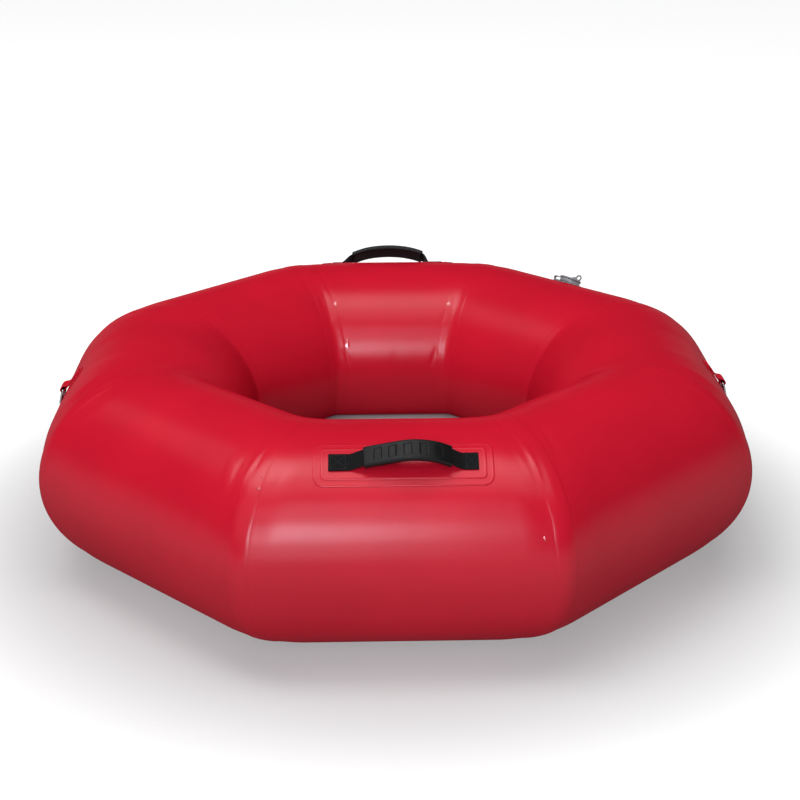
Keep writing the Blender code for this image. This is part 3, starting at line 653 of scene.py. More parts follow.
def add_sheet(name, node, look, side, along, phi, low, high, depth):
    """A closed sheet from a grid of places on the skin; low and high are its faces above the skin."""
    phi = phi + np.zeros_like(along)
    top = skin(side, along, phi, high + bead_lift(depth))
    bottom = skin(side, along, phi, low)
    rows, columns = along.shape
    count = rows * columns
    faces = grid_faces(rows, columns)
    faces += [face[::-1] for face in grid_faces(rows, columns, offset=count)]
    rim = list(range(columns)) + [i * columns + columns - 1 for i in range(1, rows)]
    rim += [(rows - 1) * columns + j for j in range(columns - 2, -1, -1)]
    rim += [i * columns for i in range(rows - 2, 0, -1)]
    faces += [(here, here + count, there + count, there) for here, there in zip(rim, rim[1:] + rim[:1])]
    points = np.concatenate([top.reshape(-1, 3), bottom.reshape(-1, 3)])
    add_piece(name, mesh_of(name, points, faces), look, "root", node)


def round_patch(name, node, look, side, theta, along, inner, outer, low, high):
    """A round sheet welded on the skin, with a hole where inner isn't nought."""
    inside = [inner + (outer - inner) * i / ROUND_PATCH_RINGS for i in range(ROUND_PATCH_RINGS)]
    rim = [outer - d for d in reversed(EDGE_POINTS[:-1]) if outer - d > inside[-1]]
    radii = np.array([max(inner, SMALLEST_HOLE)] + inside[1:] + rim)[:, None]
    turn = np.array(circle(ROUND_PATCH_STEPS))
    x = along + radii * np.cos(turn)
    phi = math.radians(theta) + radii * np.sin(turn) / TUBE_RADIUS
    top = skin(side, x, phi, high + bead_lift(outer - radii + np.zeros_like(x)))
    rows = np.concatenate([top, skin(side, x, phi, low)[::-1]])
    mesh = mesh_of(name, rows.reshape(-1, 3), tube_faces(len(rows), ROUND_PATCH_STEPS, closed=True))
    add_piece(name, mesh, look, "root", node)


# The carrying handles; an arch is the side view of a strap, as (along, height) from the handle's middle

HANDLE_THETA = 60.0
HANDLE_CENTRE = 0.003
# Length, width and corner radius
HANDLE_PATCH = (0.225, 0.066, 0.014)
HANDLE_PAD = (0.207, 0.048, 0.006)
STRAP_WIDTH = 0.025
STRAP_THICKNESS = 0.002
STRAP_ROUNDING = 0.0007
STRAP_HALF_SPREAD = 0.0933
SEWN_STEPS = 16
LEG_STEPS = 44
LEG_SPANS = 1.45
GRIP_WIDTH = 0.030
GRIP_THICKNESS = 0.008
GRIP_ROUNDING = 0.0026
GRIP_SLOT_ROUNDING = 0.0009
GRIP_STEPS = 150
GRIP_OUTLINE = {"across": 48, "corner": 6}
GRIP_ROLL = 0.0016
GRIP_TRIM = 0.0011
POCKETS = 5
POCKET_LENGTH = 0.009
POCKET_WIDTH = 0.017
POCKET_DEPTH = 0.0012
POCKET_EDGE = 0.0004
FRONT_ARCH = ((-0.066, 0.0), (-0.046, 0.0086), (-0.020, 0.0162), (0.012, 0.0235), (0.040, 0.0200),
              (0.062, 0.0090), (0.078, 0.0))
BACK_ARCH = ((-0.068, 0.0), (-0.057, 0.0130), (-0.030, 0.0222), (0.002, 0.0252), (0.035, 0.0217),
             (0.062, 0.0118), (0.082, 0.0))
BACK_LEAN = 18.0
PATCH_TOP = FIT_GAP + PATCH_THICKNESS
PAD_LOW = PATCH_TOP + GAP
PAD_TOP = PAD_LOW + PATCH_THICKNESS
STRAP_LOW = PAD_TOP + GAP
STRAP_MIDDLE = STRAP_LOW + 0.5 * STRAP_THICKNESS
STRAP_TOP = STRAP_LOW + STRAP_THICKNESS
STITCH_LENGTH = 0.0026
STITCH_WIDTH = 0.00055
STITCH_GAP = 0.0011
STITCH_INSET = 0.0028
STITCH_SIDES = 6
# Sections of one stitch: place along it, thickness and rise, as shares
STITCH_SECTIONS = ((-0.5, 0.25, -0.1), (-0.38, 0.8, 0.7), (0.0, 1.0, 1.0), (0.38, 0.8, 0.7),
                   (0.5, 0.25, -0.1))


def handle_sheet(name, node, side, size, low, high):
    """A sheet with rounded corners under a handle."""
    length, width, corner = size
    y = edge_stations(0.5 * width)[:, None]
    over = np.clip(np.abs(y) - (0.5 * width - corner), 0.0, None)
    half = 0.5 * length - corner + np.sqrt(np.clip(corner ** 2 - over ** 2, (0.04 * corner) ** 2, None))
    x = half * edge_stations(0.5 * length) / (0.5 * length)
    depth = np.minimum(half - np.abs(x), 0.5 * width - np.abs(y))
    phi = math.radians(HANDLE_THETA) + y / TUBE_RADIUS
    add_sheet(name, node, "red_pvc", side, HANDLE_CENTRE + x, phi, low, high, depth)


def arch_point(arch, t):
    """A smooth curve through the arch's points: place and slope at t, from 0 to 1."""
    spans = len(arch) - 1
    k = min(int(t * spans), spans - 1)
    u = t * spans - k
    before, start, end, after = [Vector(arch[min(max(i, 0), spans)]) for i in range(k - 1, k + 3)]
    level = Vector((end.x - start.x, 0.0))
    out_slope = 0.5 * (end - before) if k > 0 else level
    in_slope = 0.5 * (after - start) if k < spans - 1 else level
    place = ((2 * u ** 3 - 3 * u ** 2 + 1) * start + (u ** 3 - 2 * u ** 2 + u) * out_slope
             + (3 * u ** 2 - 2 * u ** 3) * end + (u ** 3 - u ** 2) * in_slope)
    slope = ((6 * u ** 2 - 6 * u) * start + (3 * u ** 2 - 4 * u + 1) * out_slope
             + (6 * u - 6 * u ** 2) * end + (3 * u ** 2 - 2 * u) * in_slope)
    return place, slope.normalized()


def strap_sections(side, arch, lean, end, root, outer):
    """Sections of half a handle's webbing, from its sewn end up its leg and into the grip."""
    roots = surface_matrix(side, HANDLE_THETA, lift=STRAP_MIDDLE)
    outline = flat_outline(STRAP_WIDTH, STRAP_THICKNESS, STRAP_ROUNDING)
    phi = np.array([math.radians(HANDLE_THETA) + p.x / TUBE_RADIUS for p in outline])
    rings, uvs = [], []
    for i in range(SEWN_STEPS):
        x = outer + (root - outer) * i / SEWN_STEPS
        crisp = 1.0 - 0.25 * math.exp(-i)
        lift = np.array([STRAP_MIDDLE + crisp * p.y for p in outline])
        rings.append([Vector(point) for point in skin(side, x, phi, lift)])
        uvs += [(abs(x - outer), p.x) for p in outline]
    travelled = abs(root - outer)
    last = Vector((root, 0.0))
    for i in range(LEG_STEPS + 1):
        spans = LEG_SPANS * i / LEG_STEPS
        t = spans / (len(arch) - 1)
        place, slope = arch_point(arch, t if end < 0 else 1.0 - t)
        travelled += (place - last).length
        last = place
        twist = Matrix.Rotation(math.radians(lean) * smoothstep(0.0, 1.0, spans), 3, "X")
        hug = (1.0 - min(1.0, 2.5 * spans)) / (2.0 * TUBE_RADIUS)
        points = [beside(place, slope, p.x, p.y) - hug * p.x ** 2 * UP for p in outline]
        rings.append([roots @ (twist @ point) for point in points])
        uvs += [(travelled, p.x) for p in outline]
    return rings, uvs


def stitch_row(points, faces, side, start, end):
    """Adds a row of thread on the webbing between two (along, up) places from the handle's middle."""
    run = (end - start).length
    count = max(1, int((run + STITCH_GAP) / (STITCH_LENGTH + STITCH_GAP)))
    forward = (end - start).normalized()
    sideways = Vector((-forward.y, forward.x))
    for k in range(count):
        middle = start + forward * ((k + 0.5) * (run / count))
        faces += tube_faces(len(STITCH_SECTIONS), STITCH_SIDES, offset=len(points))
        for place, thick, rise in STITCH_SECTIONS:
            for angle in circle(STITCH_SIDES):
                flat = middle + forward * (place * STITCH_LENGTH)
                flat = flat + sideways * (0.5 * STITCH_WIDTH * thick * math.cos(angle))
                high = STRAP_TOP + STITCH_WIDTH * (0.35 * rise + 0.45 * thick * math.sin(angle))
                points.append(skin(side, flat.x, math.radians(HANDLE_THETA) + flat.y / TUBE_RADIUS, high))


def build_stitching(name, side, root, outer):
    """The box and cross of black thread that holds one sewn end."""
    inset = math.copysign(STITCH_INSET, root - outer)
    near, far = outer + inset, root - inset
    half = 0.5 * STRAP_WIDTH - STITCH_INSET
    corners = [Vector(place) for place in ((near, -half), (far, -half), (far, half), (near, half))]
    points, faces = [], []
    for start, end in ((0, 1), (1, 2), (2, 3), (3, 0), (0, 2), (1, 3)):
        stitch_row(points, faces, side, corners[start], corners[end])
    add_piece(name, mesh_of(name, points, faces), "black_thread", "root")


def grip_dent(travel, across, length):
    """Depth of the finger pockets at a place on the top of the grip."""
    depth = POCKET_DEPTH
    nearest = min(abs(travel - length * (number + 1.0) / (POCKETS + 1.0)) for number in range(POCKETS))
    for distance, size in ((nearest, POCKET_LENGTH), (abs(across), POCKET_WIDTH)):
        depth *= smoothstep(0.5 * size + POCKET_EDGE, 0.5 * size - POCKET_EDGE, distance)
    return depth


def build_grip(where, side, arch, lean, body):
    """The moulded sleeve, hollow for the webbing, with soft edges, rolled ends and finger pockets."""
    frame_of_grip = surface_matrix(side, HANDLE_THETA, lift=STRAP_MIDDLE)
    frame_of_grip = frame_of_grip @ Matrix.Rotation(math.radians(lean), 4, "X")
    spans = len(arch) - 1
    places = [arch_point(arch, (1.0 + (spans - 2.0) * i / GRIP_STEPS) / spans) for i in range(GRIP_STEPS + 1)]
    travel = [0.0]
    for (here, _), (there, _) in zip(places, places[1:]):
        travel.append(travel[-1] + (there - here).length)
    length = travel[-1]
    outline = flat_outline(GRIP_WIDTH, GRIP_THICKNESS, GRIP_ROUNDING, **GRIP_OUTLINE)
    slot = flat_outline(STRAP_WIDTH + 2 * GAP, STRAP_THICKNESS + 2 * GAP, GRIP_SLOT_ROUNDING, **GRIP_OUTLINE)
    rings = []
    for (place, slope), gone in zip(places, travel):
        roll = min(1.0, min(gone, length - gone) / GRIP_ROLL)
        trim = GRIP_TRIM * (1.0 - math.sqrt(max(0.0, 1.0 - (1.0 - roll) ** 2)))
        ring = []
        for p in outline:
            thick = p.y - math.copysign(trim, p.y)
            if p.y > 0.5 * GRIP_THICKNESS - 1e-6:
                thick -= grip_dent(gone, p.x, length)
            ring.append(beside(place, slope, p.x - math.copysign(trim, p.x), thick))
        rings.append(ring)
    rings += [[beside(place, slope, p.x, p.y) for p in slot] for place, slope in reversed(places)]
    rings = [[frame_of_grip @ point for point in ring] for ring in rings]
    name = where + "_moulded_grip"
    add_piece(name, loft_mesh(name, rings, closed=True), "black_rubber", body, where + "_grip", smooth=50.0)


def build_handle(where, side, arch, lean, body):
    handle_sheet(where + "_outer_patch", where + "_handle_patch", side, HANDLE_PATCH, FIT_GAP, PATCH_TOP)
    handle_sheet(where + "_sewn_pad", where + "_handle_pad", side, HANDLE_PAD, PAD_LOW, PAD_TOP)
    for end, tag in ((-1, "first"), (1, "second")):
        root, entry = (arch[0][0], arch[1][0]) if end < 0 else (arch[-1][0], arch[-2][0])
        outer = HANDLE_CENTRE + end * STRAP_HALF_SPREAD
        rings, uvs = strap_sections(side, arch, lean, end, root, outer)
        name = f"{where}_webbing_{tag}"
        nodes = [f"{where}_strap_{tag}_end"] + ([f"{where}_strap_span"] if end < 0 else [])
        half = add_piece(name, loft_mesh(name, rings, uvs=uvs), "black_webbing", None, *nodes)
        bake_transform(half)
        build_stitching(f"{where}_stitching_{tag}", side, root, outer)
    build_grip(where, side, arch, lean, body)


# The lashing rings

RING_THETA = 27.0
RING_PATCH_RADIUS = 0.040
WIRE_RADIUS = 0.0022
WIRE_SIDES = 18
RING_HALF_WIDTH = 0.0152
RING_ARM = 0.010
RING_CORNER = 0.0045
RING_CORNER_STEPS = 8
RING_BOW_STEPS = 24
BAR_HEIGHT = 0.0075
RING_REST_TILT = 12.5
LOOP_WIDTH = 0.024
LOOP_ACROSS = 12
LOOP_TAIL = 0.034
LOOP_LAYER = 0.0004
LOOP_LOW = PATCH_TOP + GAP
# Where the lower tail leaves the patch and the upper one meets it, and the upper one's fall from the bar
LOOP_LEAVES = 0.011
LOOP_MEETS = 0.0118
LOOP_FALL = ((0.0034, 0.0099), (0.0056, 0.0080), (0.0074, 0.0056), (0.0092, 0.0037))


def ring_path():
    """The ring's centreline, from the middle of its bar round the bow and back."""
    half = [Vector((0.0, 0.0)), Vector((0.4 * RING_HALF_WIDTH, 0.0))]
    corner = Vector((RING_HALF_WIDTH - RING_CORNER, -RING_CORNER))
    half += [corner + RING_CORNER * unit(0.5 * math.pi * (1.0 - i / RING_CORNER_STEPS))
             for i in range(RING_CORNER_STEPS + 1)]
    arm = Vector((0.0, -RING_ARM))
    half += [arm + RING_HALF_WIDTH * unit(-0.5 * math.pi * i / RING_BOW_STEPS) for i in range(RING_BOW_STEPS)]
    tip = Vector((0.0, -RING_ARM - RING_HALF_WIDTH))
    return half + [tip] + [Vector((-p.x, p.y)) for p in reversed(half[1:])]


def loop_path():
    """Side view of the folded fabric's middle line: (up the skin, height) and its half thickness."""
    reach = LOOP_TAIL - LOOP_LEAVES
    path = [(LOOP_TAIL - reach * i / 8.0, LOOP_LOW + LOOP_LAYER, LOOP_LAYER) for i in range(9)]
    for share in (i / 20.0 for i in range(21)):
        half = 0.0006 + 0.0002 * math.sin(math.pi * share)
        angle = math.radians(-72.0 - 200.0 * share)
        radius = WIRE_RADIUS + 0.00035 + half
        path.append((radius * math.cos(angle), BAR_HEIGHT + radius * math.sin(angle), half))
    path += [(y, z, LOOP_LAYER + 0.0001) for y, z in LOOP_FALL]
    reach = LOOP_TAIL - LOOP_MEETS
    path += [(LOOP_MEETS + reach * i / 6.0, LOOP_LOW + 3.0 * LOOP_LAYER, LOOP_LAYER) for i in range(7)]
    return [Vector((y, z)) for y, z, _ in path], [half for _, _, half in path]


def build_loop(where, side):
    """The fabric strap folded over the ring's bar, with its two tails welded to the patch."""
    path, halves = loop_path()
    across = [-0.5 * LOOP_WIDTH * math.cos(math.pi * i / LOOP_ACROSS) for i in range(LOOP_ACROSS + 1)]
    rings = []
    for place, slope, half in zip(path, directions(path), halves):
        ring = []
        for face, row in ((1, across), (-1, across[::-1])):
            for x in row:
                edge = max(0.0, abs(x) - (0.5 * LOOP_WIDTH - half)) / half
                point = beside(place, slope, x, face * half * math.sqrt(max(0.02, 1.0 - edge ** 2)))
                phi = math.radians(RING_THETA) + point.x / TUBE_RADIUS
                ring.append(skin(side, point.y, phi, point.z))
        rings.append(ring)
    name = where + "_folded_loop"
    add_piece(name, loft_mesh(name, rings), "red_tape", "root", where + "_ring_loop", smooth=55.0)


def build_lashing(where, side, body):
    round_patch(where + "_round_patch", where + "_ring_patch", "red_pvc", side, RING_THETA, 0.0, 0.0,
                RING_PATCH_RADIUS, FIT_GAP, PATCH_TOP)
    build_loop(where, side)
    tilt = Matrix.Rotation(math.radians(RING_REST_TILT), 4, "X")
    place = surface_matrix(side, RING_THETA, lift=BAR_HEIGHT) @ tilt
    path = ring_path()
    outward = [Vector((-d.y, d.x, 0.0)) for d in directions(path, closed=True)]
    name = where + "_steel_ring"
    mesh = wire_mesh(name, [point.to_3d() for point in path], outward, WIRE_RADIUS, WIRE_SIDES, place)
    add_piece(name, mesh, "stainless_steel", body, where + "_lashing_ring", smooth=60.0)


# The air valve; heights are above the skin

VALVE_SIDE = 3
VALVE_THETA = 60.0
VALVE_ALONG = 0.008
VALVE_PAD_RADIUS = 0.027
VALVE_PAD_THICKNESS = 0.0012
VALVE_HOLE_RADIUS = 0.0136
VALVE_CUT_REACH = 0.02
BARREL_RADIUS = 0.0130
COLLAR_RADIUS = 0.0170
COLLAR_TOP = 0.0080
COLLAR_FOOT = 0.0022
BARREL_FOOT = -0.0180
BORE_RADIUS = 0.0105
SHELF_RADIUS = 0.0089
CAP_SEAT_RADIUS = 0.0125
CAP_SEAT_Z = 0.0010
SEAT_OPENING_RADIUS = 0.0075
SEAT_THICKNESS = 0.0020
SPIDER_TOP = -0.0050
SPIDER_THICKNESS = 0.0020
BUTTON_UNDERSIDE = 0.0025
SPRING_MEAN_RADIUS = 0.0031
SPRING_WIRE_RADIUS = 0.00035
SPRING_TURNS = 5
SPRING_STEPS = 24 * SPRING_TURNS
SPRING_SIDES = 10
CAP_RADIUS = 0.0182
CAP_THICKNESS = 0.0022
CAP_CROWN = 0.0006
CAP_PLUG_RADIUS = 0.0121
CAP_PLUG_WALL = 0.0016
CAP_PLUG_DEPTH = 0.0050
PULL_RING_RADIUS = 0.0042
PULL_RING_WIRE = 0.0014
PULL_RING_X = -0.0145
PULL_RING_STEPS = 48
PULL_RING_SIDES = 16
RIB_WIDTH = 0.0024
RIB_THICKNESS = 0.0016
RIB_START = 0.0065
RIB_STEPS = 24
TETHER_WIDTH = 0.006
TETHER_THICKNESS = 0.0012
TETHER_REACH = 0.032
TETHER_STRAIGHT_STEPS = 8
TETHER_BEND_STEPS = 24


def build_valve_body(place):
    shelf = SPIDER_TOP - SPIDER_THICKNESS - GAP
    seat = BARREL_FOOT + SEAT_THICKNESS
    corners = [(CAP_SEAT_RADIUS, COLLAR_TOP), (COLLAR_RADIUS, COLLAR_TOP, 0.0012),
               (COLLAR_RADIUS, COLLAR_FOOT), (BARREL_RADIUS, COLLAR_FOOT), (BARREL_RADIUS, BARREL_FOOT),
               (SEAT_OPENING_RADIUS, BARREL_FOOT), (SEAT_OPENING_RADIUS, seat), (SHELF_RADIUS, seat),
               (SHELF_RADIUS, shelf), (BORE_RADIUS, shelf), (BORE_RADIUS, CAP_SEAT_Z - 0.001),
               (CAP_SEAT_RADIUS, CAP_SEAT_Z)]
    mesh = turned_mesh("valve_collar", rounded_profile(corners, 0.0005), place, closed=True)
    add_piece("valve_collar", mesh, "grey_plastic", "root", "valve_body", smooth=35.0)


def build_valve_cap(place):
    low = COLLAR_TOP + GAP
    top = low + CAP_THICKNESS
    inside = CAP_PLUG_RADIUS - CAP_PLUG_WALL
    foot = low - CAP_PLUG_DEPTH
    corners = [(0.0, top + CAP_CROWN, 0.0), (0.5 * CAP_RADIUS, top + 0.75 * CAP_CROWN, 0.004),
               (CAP_RADIUS, top, 0.0013), (CAP_RADIUS, low), (CAP_PLUG_RADIUS, low),
               (CAP_PLUG_RADIUS, foot, 0.0006), (inside, foot), (inside, low), (0.0, low, 0.0)]
    mesh = turned_mesh("valve_plug_cap", rounded_profile(corners, 0.0004, closed=False), place)
    add_piece("valve_plug_cap", mesh, "grey_plastic", "cap", "valve_cap", smooth=35.0)
    upright = Matrix.Rotation(0.5 * math.pi, 4, "X")
    seat = place @ Matrix.Translation((PULL_RING_X, 0, top + PULL_RING_RADIUS)) @ upright
    outward = [unit(angle).to_3d() for angle in circle(PULL_RING_STEPS)]
    centres = [PULL_RING_RADIUS * out for out in outward]
    mesh = wire_mesh("valve_finger_ring", centres, outward, PULL_RING_WIRE, PULL_RING_SIDES, seat)
    add_piece("valve_finger_ring", mesh, "grey_plastic", "cap", smooth=60.0)
    build_cap_rib(place, top)


def build_cap_rib(place, top):
    """The rib that carries the finger ring: it rises from the middle of the cap to the ring's side."""
    outline = flat_outline(RIB_WIDTH, RIB_THICKNESS, 0.0006, across=4, corner=3)
    rings = []
    for t in (i / RIB_STEPS for i in range(RIB_STEPS + 1)):
        x = RIB_START + (PULL_RING_X + PULL_RING_RADIUS - RIB_START) * t
        height = 0.0006 + (PULL_RING_RADIUS + 0.0004) * t * t * (3.0 - 2.0 * t)
        grow = 0.25 + 0.75 * min(1.0, 4.0 * t)
        rings.append([place @ Vector((x, p.x * grow, top - 0.0002 + (p.y / RIB_THICKNESS + 0.5) * height))
                      for p in outline])
    add_piece("valve_cap_rib", loft_mesh("valve_cap_rib", rings), "grey_plastic", "cap", smooth=50.0)


def build_tether(place):
    """The strap that keeps the cap: out from its edge and back under itself to the collar."""
    top_z = COLLAR_TOP + GAP + 0.5 * CAP_THICKNESS
    low_z = COLLAR_FOOT + TETHER_THICKNESS
    bow = 0.5 * (top_z - low_z)
    bend_x = TETHER_REACH - bow
    bend = Vector((bend_x, 0.5 * (top_z + low_z)))
    straight = [i / TETHER_STRAIGHT_STEPS for i in range(TETHER_STRAIGHT_STEPS + 1)]
    path = [Vector((CAP_RADIUS - 0.0006 + (bend_x - CAP_RADIUS) * t, top_z)) for t in straight]
    path += [bend + bow * unit(math.pi * (0.5 - i / TETHER_BEND_STEPS)) for i in range(1, TETHER_BEND_STEPS)]
    path += [Vector((bend_x + (COLLAR_RADIUS - 0.0004 - bend_x) * t, low_z)) for t in straight]
    outline = flat_outline(TETHER_WIDTH, TETHER_THICKNESS, 0.0005, across=6, corner=3)
    rings = [[place @ beside(point, slope, p.x, p.y) for p in outline]
             for point, slope in zip(path, directions(path))]
    name = "valve_cap_strap"
    tether = add_piece(name, loft_mesh(name, rings), "grey_plastic", None, "valve_tether", smooth=50.0)
    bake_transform(tether)


def build_spring(place):
    """The coil between the spider and the stem's button, which shortens as the stem is pressed."""
    bottom = SPIDER_TOP + GAP + SPRING_WIRE_RADIUS
    climb = BUTTON_UNDERSIDE - GAP - SPRING_WIRE_RADIUS - bottom
    shares = [i / SPRING_STEPS for i in range(SPRING_STEPS + 1)]
    outward = [unit(2.0 * math.pi * SPRING_TURNS * share).to_3d() for share in shares]
    centres = [SPRING_MEAN_RADIUS * out + (bottom + climb * share) * UP
               for out, share in zip(outward, shares)]
    mesh = wire_mesh("valve_coil", centres, outward, SPRING_WIRE_RADIUS, SPRING_SIDES, place, closed=False)
    coil = add_piece("valve_coil", mesh, "stainless_steel", "root", "valve_spring", smooth=60.0)
    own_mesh(coil)


def cut_valve_hole(panel, place):
    """Opens the skin under the valve, right through its wall."""
    profile = [(0.0, -VALVE_CUT_REACH), (VALVE_HOLE_RADIUS, -VALVE_CUT_REACH),
               (VALVE_HOLE_RADIUS, VALVE_CUT_REACH), (0.0, VALVE_CUT_REACH)]
    mesh = turned_mesh("valve_hole_cutter", profile, place)
    cutter = add_piece("valve_hole_cutter", mesh, "grey_plastic", "root")
    panel.modifiers.new("hole", "BOOLEAN").object = cutter
    graph = bpy.context.evaluated_depsgraph_get()
    mesh = bpy.data.meshes.new_from_object(panel.evaluated_get(graph))
    panel.modifiers.clear()
    panel.data = mesh
    bpy.data.objects.remove(cutter)


def build_valve():
    place = surface_matrix(VALVE_SIDE, VALVE_THETA, VALVE_ALONG)
    cut_valve_hole(bpy.data.objects["skin_" + SIDE_NAMES[VALVE_SIDE]], place)
    round_patch("valve_seal_pad", "valve_pad", "grey_pvc", VALVE_SIDE, VALVE_THETA, VALVE_ALONG,
                VALVE_HOLE_RADIUS, VALVE_PAD_RADIUS, FIT_GAP, FIT_GAP + VALVE_PAD_THICKNESS)
    build_valve_body(place)
    build_valve_cap(place)
    build_tether(place)
    build_spring(place)


# The sling floor

FLOOR_TOP_Z = 0.076
FLOOR_THICKNESS = 0.001
FLOOR_EDGE_GAP = 0.0018
FLOOR_SAG = 0.0045
FLOOR_PULL = 0.0040
FLOOR_STEPS = 192
FLOOR_RINGS = 48
FLOOR_STRIP_WIDTH = 0.030
FLOOR_STRIP_THICKNESS = 0.001
FLOOR_STRIP_END_GAP = 0.002
FLOOR_STRIP_STATIONS = 0.09
DRAINS = 4
DRAIN_CIRCLE = 0.135
DRAIN_BORE_RADIUS = 0.005
DRAIN_BARREL_RADIUS = 0.006
DRAIN_RIM_RADIUS = 0.0095
DRAIN_RIM_THICKNESS = 0.0009
DRAIN_RIM_ROUNDING = 0.0012


def floor_apothem():
    drop = FLOOR_TOP_Z - FLOOR_THICKNESS - TUBE_CENTRE_Z
    return RING_APOTHEM - math.sqrt(TUBE_RADIUS ** 2 - drop ** 2) - FLOOR_EDGE_GAP


def octagon_reach(angle):
    """Distance from the middle to the edge of the floor's octagon in a direction."""
    turn = (angle + HALF_CORNER) % (2.0 * HALF_CORNER) - HALF_CORNER
    return floor_apothem() / math.cos(turn)


def floor_height(angle, share):
    """The floor's top: taut at the edge, with a slight sag and soft pulls from the corners."""
    pulls = FLOOR_PULL * math.cos(SIDES * angle) * share ** 3 * (1.0 - share)
    return FLOOR_TOP_Z - FLOOR_SAG * (1.0 - share ** 2) ** 1.2 + pulls


def build_floor():
    apothem = floor_apothem()
    points = [(0.0, 0.0, floor_height(0.0, 0.0))]
    for i in range(1, FLOOR_RINGS + 1):
        share = (i / FLOOR_RINGS) ** 0.8
        for angle in circle(FLOOR_STEPS):
            reach = share * ((1.0 - share) * apothem + share * octagon_reach(angle))
            points.append((*(reach * unit(angle)), floor_height(angle, share)))
    faces = fan_faces(0, 1, FLOOR_STEPS) + grid_faces(FLOOR_RINGS, FLOOR_STEPS, wrap_columns=True, offset=1)
    floor = add_piece("sling_floor", mesh_of("sling_floor", points, faces), "grey_pvc", "root", "floor_sheet")
    thicken(floor, FLOOR_THICKNESS)


def build_floor_weld(side):
    """The strip that holds the floor's edge to the inner wall of one panel."""
    under = FLOOR_TOP_Z - FLOOR_THICKNESS - 2.0 * GAP
    inner = TUBE_RADIUS + FIT_GAP
    start = math.pi + math.asin((TUBE_CENTRE_Z - under) / (inner + FLOOR_STRIP_THICKNESS))
    y = edge_stations(0.5 * FLOOR_STRIP_WIDTH, 0.004)[:, None]
    phi = start + (y + 0.5 * FLOOR_STRIP_WIDTH) / TUBE_RADIUS
    half = mitre_distance(phi, inner) - 0.5 * TAPE_WIDTH - FLOOR_STRIP_END_GAP
    x = half * edge_stations(FLOOR_STRIP_STATIONS) / FLOOR_STRIP_STATIONS
    depth = np.minimum(half - np.abs(x), 0.5 * FLOOR_STRIP_WIDTH - np.abs(y))
    number = side + 1
    add_sheet(f"floor_weld_{number}", f"floor_strip_{number}", "grey_pvc", side, x, phi, FIT_GAP,
              FIT_GAP + FLOOR_STRIP_THICKNESS, depth)


def build_eyelet(number):
    """A pressed eyelet with rolled rims."""
    angle = 2.0 * math.pi * (number + 0.5) / DRAINS
    height = floor_height(angle, DRAIN_CIRCLE / octagon_reach(angle)) - 0.5 * FLOOR_THICKNESS
    face = 0.5 * FLOOR_THICKNESS + 0.0001
    top = face + DRAIN_RIM_THICKNESS
    above = [(DRAIN_BORE_RADIUS, top, DRAIN_RIM_ROUNDING), (DRAIN_RIM_RADIUS, top, DRAIN_RIM_ROUNDING),
             (DRAIN_RIM_RADIUS, face), (DRAIN_BARREL_RADIUS, face)]
    below = [(radius, -z, *own) for radius, z, *own in reversed(above)]
    spot = Matrix.Translation((DRAIN_CIRCLE * math.cos(angle), DRAIN_CIRCLE * math.sin(angle), height))
    name = f"floor_eyelet_{number + 1}"
    mesh = turned_mesh(name, rounded_profile(above + below, 0.0002), spot, closed=True, steps=64)
    add_piece(name, mesh, "stainless_steel", "root", f"drain_eyelet_{number + 1}")


for number in range(SIDES):
    build_panel(number)
    build_tape(number)
    build_floor_weld(number)
build_smears()
build_floor()
for number in range(DRAINS):
    build_eyelet(number)
build_handle("front", 0, FRONT_ARCH, 0.0, "front_handle")
build_handle("back", 4, BACK_ARCH, BACK_LEAN, "back_handle")
build_lashing("right", 2, "right_ring")
build_lashing("left", 6, "left_ring")
build_valve()

INNER_LOOKS = {"valve_spider": "grey_plastic", "valve_stem": "grey_plastic", "valve_nut": "grey_plastic",
               "valve_seal": "black_rubber", "valve_gasket": "black_rubber"}
for node, look in INNER_LOOKS.items():
    frame["nodes"][node].data.materials.clear()
    frame["nodes"][node].data.materials.append(LOOKS[look])


# The studio: a pale floor, soft lights and the camera at the photograph's angle

FLOOR_REACH = 30.0
FLOOR_COLOUR = (0.36, 0.36, 0.36, 1.0)
WHITE = (1.0, 1.0, 1.0, 1.0)
# The floor's glow is lower near the ring than far from it: painted shade round the ring
FLOOR_GLOW_NEAR = 0.30
FLOOR_GLOW_FAR = 0.86
GLOW_START = 0.48
GLOW_END = 0.85
BACKDROP = 0.05
HORIZON_FADE = 12.0
NEUTRAL = (1.0, 1.0, 1.0)
COOL = (0.96, 1.0, 1.12)
# Each lamp: name, azimuth, elevation, its width and height in degrees, its radiance and its colour
LAMPS = (
    ("key_softbox", -5.0, 22.0, 11.0, 16.0, 16.8, COOL),
    ("key_upper", -5.0, 41.0, 16.0, 20.0, 3.1, COOL),
    ("key_lower", -5.0, 4.0, 16.0, 20.0, 3.4, COOL),
    ("overhead_softbox", 0.0, 90.0, 45.0, 24.0, 1.7, NEUTRAL),
    ("overhead_front", 0.0, 78.0, 45.0, 34.0, 1.95, NEUTRAL),
    ("overhead_left", -90.0, 70.0, 24.0, 28.0, 3.7, NEUTRAL),
    ("left_softbox", -117.0, 46.0, 24.0, 15.0, 0.9, NEUTRAL),
    ("left_fill", -45.0, 34.0, 40.0, 40.0, 0.7, NEUTRAL),
)
LAMP_DISTANCE = 6.0
STUDIO_CENTRE = Vector((0.0, 0.0, TUBE_CENTRE_Z))


def towards(azimuth, elevation):
    """Unit vector in degrees: azimuth 0 is the camera's side and 90 is +X."""
    a, e = math.radians(azimuth), math.radians(elevation)
    return Vector((math.sin(a) * math.cos(e), -math.cos(a) * math.cos(e), math.sin(e)))


def seen_directly(tree):
    """1 where the camera, a mirror or a glass looks, and 0 for the light that falls on the object."""
    rays = add(tree, "LightPath").outputs
    seen = result(tree, "MAXIMUM", rays["Is Camera Ray"], rays["Is Glossy Ray"])
    return result(tree, "MAXIMUM", seen, rays["Is Transmission Ray"])


